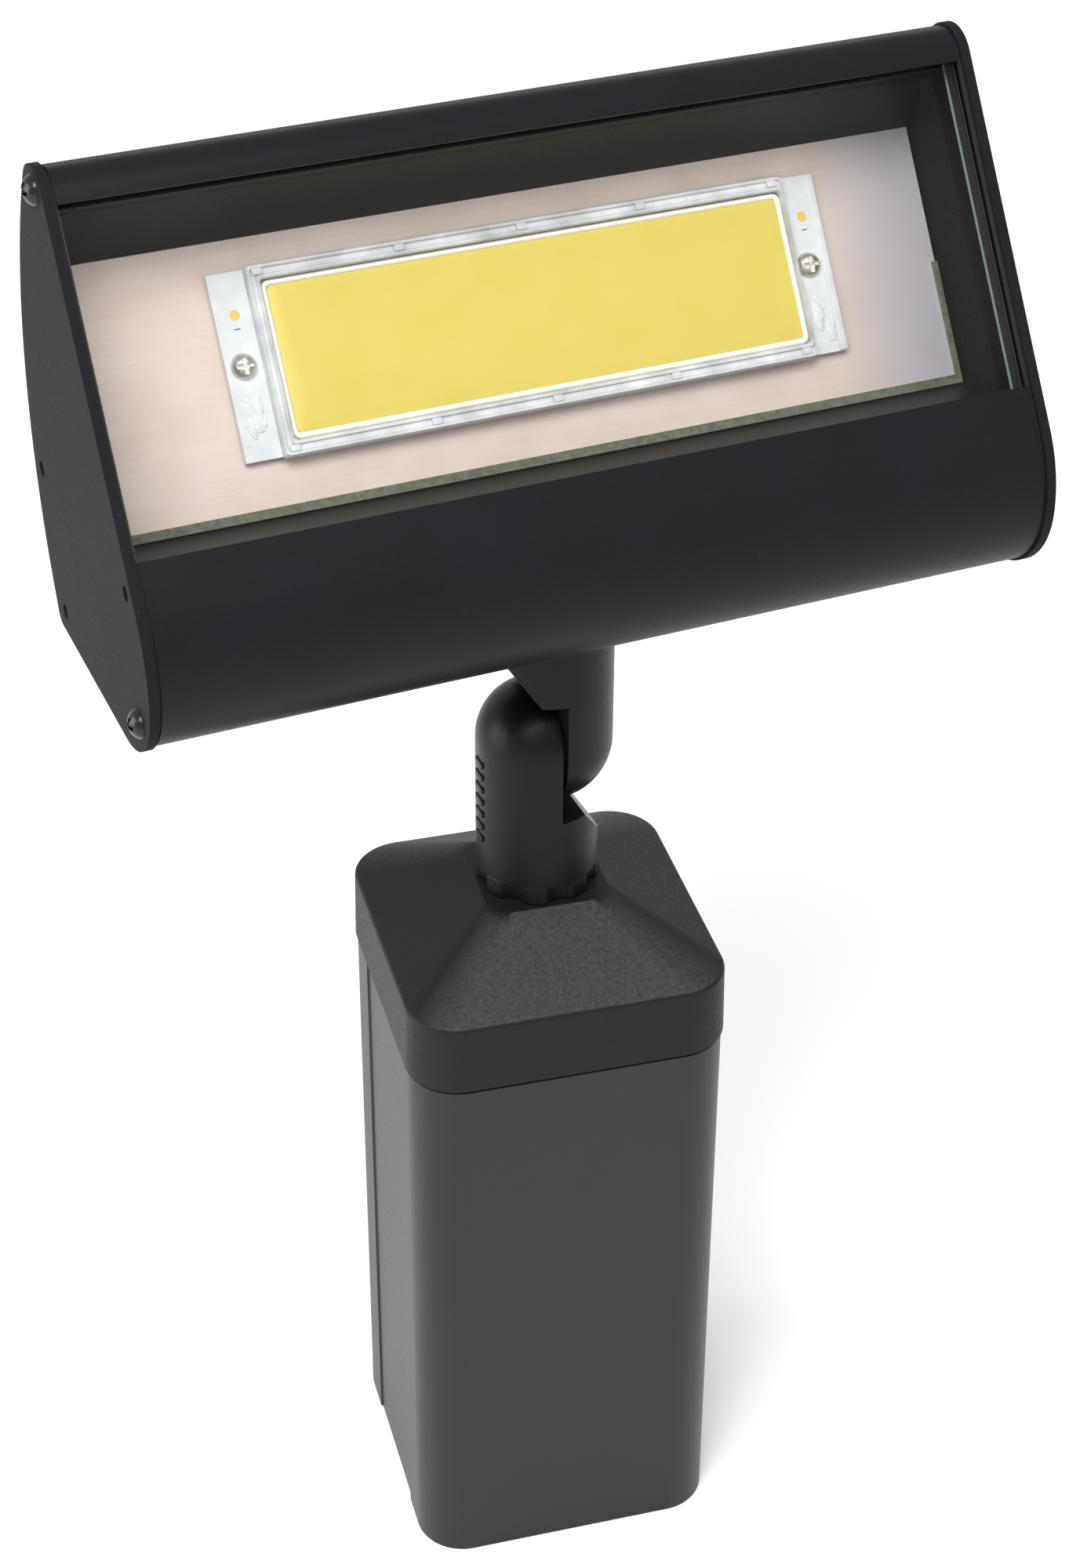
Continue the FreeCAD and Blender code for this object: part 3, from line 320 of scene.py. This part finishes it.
def brushed_plate(name, block):
    """Brushed sheet with streaks along the head, warm in the middle and cooler at its right end."""
    shade = Shade(name)
    local, streaked = along(shade, block, 40)
    streaks = shade.noise(0.35 * MM, detail=4, place=streaked)
    cloud = shade.noise(16 * MM, detail=3, place=local)
    warm = shade.mix(shade.between(cloud, 0, 1), colour("d6c6bb"), colour("e0d3ca"))
    toned = shade.mix(shade.between(streaks, 0, 0.3), warm, colour("c9b8ab"))
    across = shade.add("ShaderNodeSeparateXYZ", Vector=local).outputs["X"]
    cool = shade.between(across, 0, 0.8, block.half.x * 0.72, block.half.x * 0.92)
    shade.set(
        Base_Color=shade.mix(cool, toned, colour("b4b3bd")),
        Metallic=0.2,
        Roughness=shade.between(streaks, 0.42, 0.55),
        Normal=shade.bump(streaks, 0.25, 0.02 * MM),
    )
    return shade.material


def steel(name, base, roughness):
    """Stainless or plated steel with fine wear."""
    shade = Shade(name)
    wear = shade.noise(0.5 * MM, detail=4)
    tone = shade.mix(shade.between(wear, 0, 1), tinted(base, 0.75), base)
    shade.set(
        Base_Color=tone,
        Metallic=1.0,
        Roughness=shade.between(wear, roughness - 0.05, roughness + 0.15),
        Normal=shade.bump(wear, 0.15, 0.02 * MM),
    )
    return shade.material


def gloss_black(name):
    """Gloss black coating on the end screws."""
    shade = Shade(name)
    wear = shade.noise(0.7 * MM, detail=3)
    shade.set(
        Base_Color=shade.mix(shade.between(wear, 0, 1), colour("050506"), colour("0c0c0d")),
        Roughness=shade.between(wear, 0.14, 0.26),
        Specular_IOR_Level=0.4,
    )
    return shade.material


def moulded(name, base, roughness, cell=3 * MM, bump=0.02 * MM):
    """Smooth moulded plastic, gel or solder mask with a slight ripple."""
    shade = Shade(name)
    ripple = shade.noise(cell, detail=3)
    shade.set(
        Base_Color=shade.mix(shade.between(ripple, 0, 1), tinted(base, 0.95), tinted(base, 1.05)),
        Roughness=shade.between(shade.noise(1.2 * MM), roughness - 0.05, roughness + 0.08),
        Normal=shade.bump(ripple, 0.3, bump),
    )
    return shade.material


def phosphor_gel(name):
    """Yellow phosphor under clear gel, with a very fine grain."""
    shade = Shade(name)
    cloud = shade.noise(9 * MM, detail=3)
    grain = shade.noise(0.5 * MM, detail=2)
    tone = shade.mix(shade.between(cloud, 0, 1), colour("dac75a"), colour("ddcb64"))
    shade.set(
        Base_Color=shade.mix(shade.between(grain, 0, 0.25), tone, colour("d8bb4a")),
        Roughness=shade.between(grain, 0.38, 0.5),
        Normal=shade.bump(grain, 0.1, 0.01 * MM),
    )
    return shade.material


def clear(name, tint, body, ior=1.45, roughness=0.05, cell=2 * MM, bump=0.0):
    """Clear glass, silicone or plastic: it mirrors at its skin, and `body` is how milky it is inside."""
    shade = Shade(name)
    ripple = shade.noise(cell, detail=3)
    normal = shade.bump(ripple, 0.5, bump)
    milky = shade.add("ShaderNodeBsdfDiffuse", Color=tint, Normal=normal).outputs[0]
    through = shade.add("ShaderNodeBsdfTransparent", Color=tint).outputs[0]
    cloud = shade.between(ripple, body * 0.7, body * 1.3)
    inside = shade.nodes.new("ShaderNodeMixShader")
    shade.feed(inside.inputs[0], cloud)
    shade.feed(inside.inputs[1], through)
    shade.feed(inside.inputs[2], milky)
    skin = shade.add("ShaderNodeBsdfGlossy", Roughness=roughness, Normal=normal).outputs[0]
    whole = shade.nodes.new("ShaderNodeMixShader")
    shade.feed(whole.inputs[0], shade.add("ShaderNodeFresnel", IOR=ior, Normal=normal).outputs[0])
    shade.feed(whole.inputs[1], inside.outputs[0])
    shade.feed(whole.inputs[2], skin)
    shade.links.new(whole.outputs[0], shade.nodes["Material Output"].inputs["Surface"])
    shade.nodes.remove(shade.shader)
    return shade.material


def floor_paint():
    """The studio's pale floor."""
    shade = Shade("studio_floor")
    cloud = shade.noise(0.4, detail=2)
    shade.set(
        Base_Color=shade.mix(shade.between(cloud, 0, 1), colour("f6f6f6"), colour("fafafa")),
        Roughness=0.9,
        Specular_IOR_Level=0.1,
    )
    return shade.material


# ------------------------------------------------------------------ shapes for the light engine

def rounded_path(half_x, half_y, radius):
    """Points and outward normals round a rectangle with round corners."""
    signs = ((1, 1), (-1, 1), (-1, -1), (1, -1))
    for quarter, (x_sign, y_sign) in enumerate(signs):
        corner = Vector((x_sign * (half_x - radius), y_sign * (half_y - radius)))
        for step in range(CORNER_STEPS + 1):
            angle = (quarter + step / CORNER_STEPS) * math.pi / 2
            normal = Vector((math.cos(angle), math.sin(angle)))
            yield corner + normal * radius, normal


def add_ring(builder, block, half_x, half_y, radius, outwards, height):
    """Add a ring of vertices round a rounded rectangle, moved outwards, above the block's middle."""
    places = rounded_path(half_x, half_y, radius)
    return [builder.verts.new(block.at(*(point + normal * outwards), height)) for point, normal in places]


def join_rings(builder, lower, upper):
    """Fill the strip between two rings."""
    for index in range(len(lower)):
        after = (index + 1) % len(lower)
        builder.faces.new((lower[index], lower[after], upper[after], upper[index]))


def swept_frame(name, block, half_x, half_y, radius, profile):
    """Sweep a closed profile of (outwards, height) points round a rectangle."""
    builder = bmesh.new()
    rings = [add_ring(builder, block, half_x, half_y, radius, *point) for point in profile]
    for lower, upper in zip(rings, rings[1:] + rings[:1]):
        join_rings(builder, lower, upper)
    return mesh_object(name, builder)


def domed_slab(name, block, half_x, half_y, radius, profile):
    """Stack rings of (inset, height) from the bottom up, and close both ends."""
    builder = bmesh.new()
    rings = [
        add_ring(builder, block, half_x - inset, half_y - inset, radius, 0, height)
        for inset, height in profile
    ]
    for lower, upper in zip(rings, rings[1:]):
        join_rings(builder, lower, upper)
    builder.faces.new(list(reversed(rings[0])))
    builder.faces.new(rings[-1])
    return mesh_object(name, builder)


def half_round(width, low, high):
    """A half-round profile from its foot up, for swept_frame."""
    angles = [math.pi * step / ARCH_STEPS for step in range(ARCH_STEPS + 1)]
    return [(width / 2 * math.cos(angle), low + (high - low) * math.sin(angle)) for angle in angles]


def small_box(builder, place, spans, turn, width):
    """Add a small rounded box to a mesh."""
    part = bmesh.new()
    bmesh.ops.create_cube(part, size=1)
    bmesh.ops.scale(part, vec=spans, verts=part.verts)
    bmesh.ops.bevel(part, geom=part.edges, offset=width, segments=2, profile=0.5, affect="EDGES")
    part.transform(Matrix.Translation(place) @ turn)
    merge(builder, part)


def frame_between(name, inner, outer, radius, profile):
    """A rectangular frame whose rings run from an inner to an outer rectangle, as (share, height) points."""
    builder = bmesh.new()
    inner_path = [inner.at(*point, 0) for point, _ in rounded_path(inner.half.x, inner.half.y, radius)]
    outer_path = [outer.at(*point, 0) for point, _ in rounded_path(outer.half.x, outer.half.y, radius)]
    outward = outer.matrix.to_3x3() @ Vector((0, 0, 1))
    foot = -outer.half.z
    rings = []
    for share, height in profile:
        ring = []
        for near, far in zip(inner_path, outer_path):
            flat = near.lerp(far, share)
            level = (flat - outer.matrix.translation).dot(outward)
            ring.append(builder.verts.new(flat + outward * (foot + height - level)))
        rings.append(ring)
    for lower, upper in zip(rings, rings[1:] + rings[:1]):
        join_rings(builder, lower, upper)
    return mesh_object(name, builder, smooth_angle=50)


# ------------------------------------------------------------------ pieces on the light engine

def dam_bead(material):
    """The half-round silicone dam round the phosphor."""
    block = Block("led_dam")
    half_x = block.half.x - DAM_WIDTH / 2
    half_y = block.half.y - DAM_WIDTH / 2
    profile = half_round(DAM_WIDTH, -block.half.z, block.half.z)
    piece = swept_frame("dam_bead", block, half_x, half_y, DAM_CORNER, profile)
    return finish_piece(piece, "head", "dam_white", material, "led_dam")


def dam_shadow_line(material):
    """Painted shadow: a thin dark strip where the clear frame's inner edge stands off the dam."""
    block = Block("led_dam")
    foot = -block.half.z
    top = foot + SHADOW_LINE_HEIGHT
    profile = [(0, foot), (SHADOW_LINE_WIDTH, foot), (SHADOW_LINE_WIDTH, top), (0, top)]
    half_x = block.half.x - SHADOW_LINE_WIDTH / 2
    half_y = block.half.y - SHADOW_LINE_WIDTH / 2
    piece = swept_frame("dam_shadow_line", block, half_x, half_y, DAM_CORNER, profile)
    return finish_piece(piece, "head", "clear_cover", material)


def board_ridge(material):
    """The raised rim along the board's right-hand edge."""
    board = Block("led_board")
    builder = bmesh.new()
    place = board.at(board.half.x - RIDGE_WIDTH / 2, 0, board.half.z)
    spans = Vector((RIDGE_WIDTH, 2 * board.half.y - 0.4 * MM, RIDGE_HEIGHT))
    small_box(builder, place, spans, board.matrix.to_3x3().to_4x4(), 0.25 * MM)
    piece = mesh_object("board_ridge", builder)
    return finish_piece(piece, "head", "board_white", material)


def phosphor_field(material):
    """The phosphor, level with the dam at its edge and slightly crowned."""
    block = Block("led_phosphor")
    foot, top = -block.half.z, block.half.z
    profile = [
        (0, foot), (0, top - 0.15 * MM), (0.3 * MM, top - 0.03 * MM), (3 * MM, top),
        (9 * MM, top + 0.05 * MM),
    ]
    piece = domed_slab("phosphor_field", block, block.half.x, block.half.y, PHOSPHOR_CORNER, profile)
    return finish_piece(piece, "head", "phosphor_gel", material, "led_phosphor")


def clear_frame(material):
    """The clear moulded frame: an inner and an outer ridge with a shallow channel between them."""
    outer = Block("led_cover")
    inner = Block("led_dam")
    thick = 2 * outer.half.z
    profile = [
        (0.04, 0.0), (0.04, 0.82 * thick), (0.12, 0.95 * thick), (0.26, 0.95 * thick), (0.34, 0.7 * thick),
        (0.62, 0.66 * thick), (0.72, 0.97 * thick), (0.86, thick), (0.97, 0.8 * thick), (1.0, 0.0),
    ]
    piece = frame_between("clear_frame", inner, outer, COVER_CORNER, profile)
    return finish_piece(piece, "head", "clear_cover", material, "led_cover")


def frame_clips(material):
    """Small pads moulded on the clear frame's corners and along its long sides."""
    outer = Block("led_cover")
    inner = Block("led_dam")
    builder = bmesh.new()
    turn = outer.matrix.to_3x3().to_4x4()
    middle_y = (inner.half.y + outer.half.y) / 2
    for up in (-1, 1):
        for share in (-0.96, -0.45, 0.0, 0.45, 0.96):
            place = outer.at(share * outer.half.x, up * middle_y, outer.half.z)
            small_box(builder, place, Vector((2.2, 1.5, 0.5)) * MM, turn, 0.2 * MM)
    piece = mesh_object("frame_clips", builder)
    return finish_piece(piece, "head", "clear_cover", material)


def board_marks(material):
    """A short printed dash below each test pad."""
    board = Block("led_board")
    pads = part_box("test_pads")
    builder = bmesh.new()
    turn = board.matrix.to_3x3().to_4x4()
    drop = Vector((0, -MARK_DROP, 0))
    middle = board.matrix.inverted() @ ((pads[0] + pads[1]) / 2)
    reach = test_pad_reach(board)
    for side in (-1, 1):
        place = board.matrix @ (Vector((side * reach, middle.y, board.half.z + 0.02 * MM)) + drop)
        small_box(builder, place, Vector((1.3, 0.28, 0.05)) * MM, turn, 0.02 * MM)
    piece = mesh_object("board_marks", builder)
    return finish_piece(piece, "head", "board_white", material)


def test_pad_reach(board):
    """How far the test pads sit from the board's centre, along the head."""
    inverse = board.matrix.inverted()
    vertices = frame["nodes"]["test_pads"].data.vertices
    return max((inverse @ vertex.co).x for vertex in vertices) - TEST_PAD_RADIUS


def board_bumps(material):
    """Copper tracks and solder that show as low bumps under the white mask, on the lower half of each ear."""
    board = Block("led_board")
    builder = bmesh.new()
    turn = board.matrix.to_3x3().to_4x4()
    for side in (-1, 1):
        for _ in range(BUMPS_PER_EAR):
            across = side * (board.half.x - RANDOM.uniform(1.2, 6.0) * MM)
            up = -RANDOM.uniform(0.25, 0.92) * board.half.y
            long = RANDOM.uniform(0.5, 1.6)
            spans = Vector((0.4, long, 0.24)) * MM
            small_box(builder, board.at(across, up, board.half.z), spans, turn, 0.1 * MM)
    piece = mesh_object("board_bumps", builder)
    return finish_piece(piece, "head", "board_white", material)


def smear(builder, place, turn, spans, seed):
    """Add one irregular low dome of sealant, flat side down."""
    part = bmesh.new()
    bmesh.ops.create_icosphere(part, subdivisions=4, radius=1)
    bmesh.ops.bisect_plane(
        part, geom=part.verts[:] + part.edges[:] + part.faces[:], plane_co=(0, 0, 0), plane_no=(0, 0, -1),
        clear_outer=True,
    )
    bmesh.ops.holes_fill(part, edges=part.edges, sides=0)
    for vertex in part.verts:
        ripple = 1 + 0.45 * noise.noise(vertex.co * 2.2 + Vector((seed, 0, 0)))
        x, y, z = vertex.co
        vertex.co = Vector((x * spans.x * ripple, y * spans.y * ripple, z * spans.z))
    part.transform(Matrix.Translation(place) @ turn)
    merge(builder, part)


def joint_smears(material):
    """White silicone smeared over the solder joints on the ears."""
    board = Block("led_board")
    node = Block("joint_sealant")
    builder = bmesh.new()
    turn = board.matrix.to_3x3().to_4x4()
    centre = board.matrix.inverted() @ node.matrix.translation
    reach = node.half.x - SMEAR_HALF_WIDTH
    for index, side in enumerate((-1, 1)):
        for lobe in range(LOBES_PER_EAR):
            shift = Vector((RANDOM.uniform(-1.5, 1.5), RANDOM.uniform(-5.0, 5.0), 0)) * MM
            spans = Vector((RANDOM.uniform(0.8, 1.7), RANDOM.uniform(1.4, 3.2), 0.45)) * MM
            across = centre.x + side * reach + shift.x
            place = board.at(across, centre.y + shift.y, board.half.z - 0.05 * MM)
            smear(builder, place, turn, spans, 3.1 + index + lobe)
    piece = mesh_object("joint_smears", builder, smooth_angle=60)
    return finish_piece(piece, "head", "white_silicone", material, "joint_sealant")


def glass_surface(normal):
    """Which of the glass's materials a face has: 0 clear face, 1 edge, 2 ground corner."""
    if abs(normal.z) > 0.95:
        return 0
    return 1 if max(abs(normal.x), abs(normal.y)) > 0.95 else 2


def lens_pane(*materials):
    """The glass: clear faces, nearly black edges, and ground corners that catch a little light."""
    block = Block("lens")
    builder = bmesh.new()
    bmesh.ops.create_cube(builder, size=2)
    bmesh.ops.scale(builder, vec=block.half, verts=builder.verts)
    bmesh.ops.bevel(
        builder, geom=builder.edges, offset=LENS_CHAMFER, segments=1, profile=0.5, affect="EDGES"
    )
    for face in builder.faces:
        face.normal_update()
        face.material_index = glass_surface(face.normal)
    builder.transform(block.matrix)
    piece = mesh_object("lens_pane", builder, smooth_angle=20)
    for material in materials:
        piece.data.materials.append(material)
    return finish_piece(piece, "head", "lens_glass", None, "lens")


# ------------------------------------------------------------------ pieces on the knuckle

def casting_ribs(material):
    """Short raised ribs cast on the outer side of the knuckle's lower half."""
    outward = -TILT_AXIS
    sideways = outward.cross(Vector((0, 0, 1)))
    turn = Matrix((sideways, outward, Vector((0, 0, 1)))).transposed().to_4x4()
    low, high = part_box("lower_knuckle")
    radius = (high.y - low.y) / 2
    builder = bmesh.new()
    for index in range(RIB_COUNT):
        place = PIVOT + outward * radius - Vector((0, 0, FIRST_RIB_DROP + RIB_PITCH * index))
        small_box(builder, place, Vector((4.2, 0.7, 1.5)) * MM, turn, 0.3 * MM)
    piece = mesh_object("casting_ribs", builder)
    return finish_piece(piece, "knuckle", "cap_paint", material)


# ------------------------------------------------------------------ putting it together

def soften_casings(knuckle, board, black, stainless):
    """Round the edges of the CAD nodes that show, and paint them; widths are in millimetres."""
    post = powder_coat(
        "post_coat", colour("101011"), 0.40, 0.4, grain=0.3 * MM, height=0.02 * MM, spread=0.05
    )
    # the cap's coat has painted light, lighter speckles on its front slope
    cap = powder_coat(
        "cap_coat", colour("121212"), 0.5, 0.2, grain=0.8 * MM, height=0.12 * MM, painted_light=colour("4a4a4a")
    )
    head = powder_coat("head_coat", colour("0f1014"), 0.42, 0.17, grain=0.45 * MM, height=0.04 * MM)
    plate = powder_coat("plate_coat", colour("18181c"), 0.68, 0.1, grain=0.5 * MM, height=0.07 * MM)
    screws = gloss_black("screw_black")
    tray = brushed_plate("brushed_tray", Block("tray"))
    pieces = [
        ("post_tube", "post", "post_paint", post, 0.5),
        ("cap_gasket", "post", "black_rubber", black, 0.1),
        ("post_cap", "post", "cap_paint", cap, 0.9),
        ("lower_knuckle", "knuckle", "cap_paint", knuckle, 0.7),
        ("base_locknut", "knuckle", "cap_paint", knuckle, 0.6),
        ("upper_knuckle", "head", "cap_paint", knuckle, 0.7),
        ("floor_gasket", "head", "black_rubber", black, 0.3),
        ("housing_extrusion", "head", "head_paint", head, 0.3),
        ("left_end_plate", "head", "plate_paint", plate, 0.35),
        ("right_end_plate", "head", "plate_paint", plate, 0.35),
        ("left_end_screws", "head", "black_screws", screws, 0.15),
        ("right_end_screws", "head", "black_screws", screws, 0.15),
        ("tray", "head", "brushed_tray", tray, 0.2),
        ("led_board", "head", "board_white", board, 0.15),
        ("board_screws", "head", "steel_hardware", stainless, 0.15),
    ]
    for node, body, slot, material, width in pieces:
        softened(node, body, slot, material, width * MM)


def paint_plain_nodes(black, stainless):
    """Give a material to the CAD nodes that are shown as they are."""
    materials = {
        "pivot_bolt": stainless,
        "pivot_washer": stainless,
        "stem_nut": stainless,
        "knuckle_seal": black,
        "left_end_gasket": black,
        "right_end_gasket": black,
        "lens_gasket": clear("clear_silicone", colour("dfe6d8"), 0.35),
        "tray_sealant": clear("tray_silicone", colour("8d917c"), 0.5, cell=1.2 * MM, bump=0.2 * MM),
        "thermal_pad": rubber("thermal_pad", colour("9a9da2")),
        "test_pads": moulded("gold_plate", colour("e6bf62"), 0.3),
        "led_driver": moulded("driver_potting", colour("1d1d1f"), 0.4),
        "driver_tape": rubber("foam_tape", colour("3a3a3a")),
        "led_leads": moulded("lead_insulation", colour("d9d9d4"), 0.35),
    }
    for node, material in materials.items():
        slots = frame["nodes"][node].data.materials
        slots.clear()
        slots.append(material)


def make_light_engine(board):
    """The fine pieces on the board."""
    dam_bead(moulded("dam_silicone", colour("f1efe4"), 0.4, cell=1.5 * MM))
    phosphor_field(phosphor_gel("phosphor_gel"))
    plastic = clear("clear_plastic", colour("eff1f2"), 0.72, ior=1.3, roughness=0.2, cell=9 * MM)
    clear_frame(plastic)
    frame_clips(plastic)
    board_marks(moulded("board_print", colour("6f7274"), 0.5))
    board_bumps(board)
    board_ridge(board)
    # painted shadow: a thin dark strip round the dam
    dam_shadow_line(rubber("groove_shadow", colour("85877f")))
    joint_smears(moulded("white_silicone", colour("dcdfdf"), 0.5, cell=1.5 * MM, bump=0.1 * MM))


def make_lens():
    """The glass in front of the light box."""
    glass = clear("lens_glass", colour("fdfdfd"), 0.0, ior=1.22, roughness=0.01)
    edge = moulded("lens_edge", colour("0d100f"), 0.85)
    ground = moulded("lens_ground", colour("66746c"), 0.6)
    lens_pane(glass, edge, ground)


def make_pieces():
    """Every visible piece, with its material."""
    knuckle = powder_coat("knuckle_coat", colour("0a0a0c"), 0.34, 0.18, grain=0.6 * MM, height=0.04 * MM)
    board = moulded("board_mask", colour("dadedf"), 0.35)
    black = rubber("black_rubber", colour("141414"))
    stainless = steel("stainless", colour("efebe4"), 0.42)
    soften_casings(knuckle, board, black, stainless)
    paint_plain_nodes(black, stainless)
    make_light_engine(board)
    make_lens()
    casting_ribs(knuckle)


def make_floor():
    """A wide pale floor under the post."""
    builder = bmesh.new()
    bmesh.ops.create_grid(builder, x_segments=1, y_segments=1, size=FLOOR_HALF_WIDTH)
    floor = mesh_object("floor", builder)
    floor.data.materials.append(floor_paint())


def area_light(name, place, target, size, power):
    """A soft square lamp aimed at a place."""
    data = bpy.data.lights.new(name, "AREA")
    data.size = size
    data.energy = power
    lamp = new_object(name, data)
    lamp.location = place
    lamp.rotation_mode = "QUATERNION"
    lamp.rotation_quaternion = (Vector(target) - Vector(place)).to_track_quat("-Z", "Y")


def make_light():
    """Even light from all round, a key, a fill into the light box, and a lamp on the left side."""
    world = bpy.data.worlds.new("studio")
    world.use_nodes = True
    background = world.node_tree.nodes["Background"]
    background.inputs["Color"].default_value = (1, 1, 1, 1)
    background.inputs["Strength"].default_value = WORLD_STRENGTH
    bpy.context.scene.world = world
    area_light("key", place=(-0.9, -1.0, 1.7), target=(0, 0, 0.25), size=0.9, power=14)
    area_light("front_fill", place=(-0.25, -0.7, 1.4), target=(0, 0, 0.32), size=0.6, power=10)
    area_light("left_side", place=(-1.4, 0.1, 0.5), target=(0, 0, 0.2), size=0.9, power=10)


def make_camera():
    """The camera: above the lit side, a little to the left of it."""
    data = bpy.data.cameras.new("camera")
    data.sensor_fit = "AUTO"
    data.sensor_width = 36
    data.lens = CAMERA_LENS
    data.clip_start, data.clip_end = 0.01, 50
    camera = new_object("camera", data)
    aim = Matrix.Rotation(-CAMERA_AZIMUTH, 4, "Z") @ Matrix.Rotation(math.pi / 2 - CAMERA_PITCH, 4, "X")
    turn = aim @ Matrix.Rotation(-CAMERA_ROLL, 4, "Z")
    camera.matrix_world = Matrix.Translation(CAMERA_PLACE) @ turn
    bpy.context.scene.camera = camera


make_camera()
make_light()
make_floor()
make_pieces()
bpy.context.scene.view_settings.view_transform = "Standard"
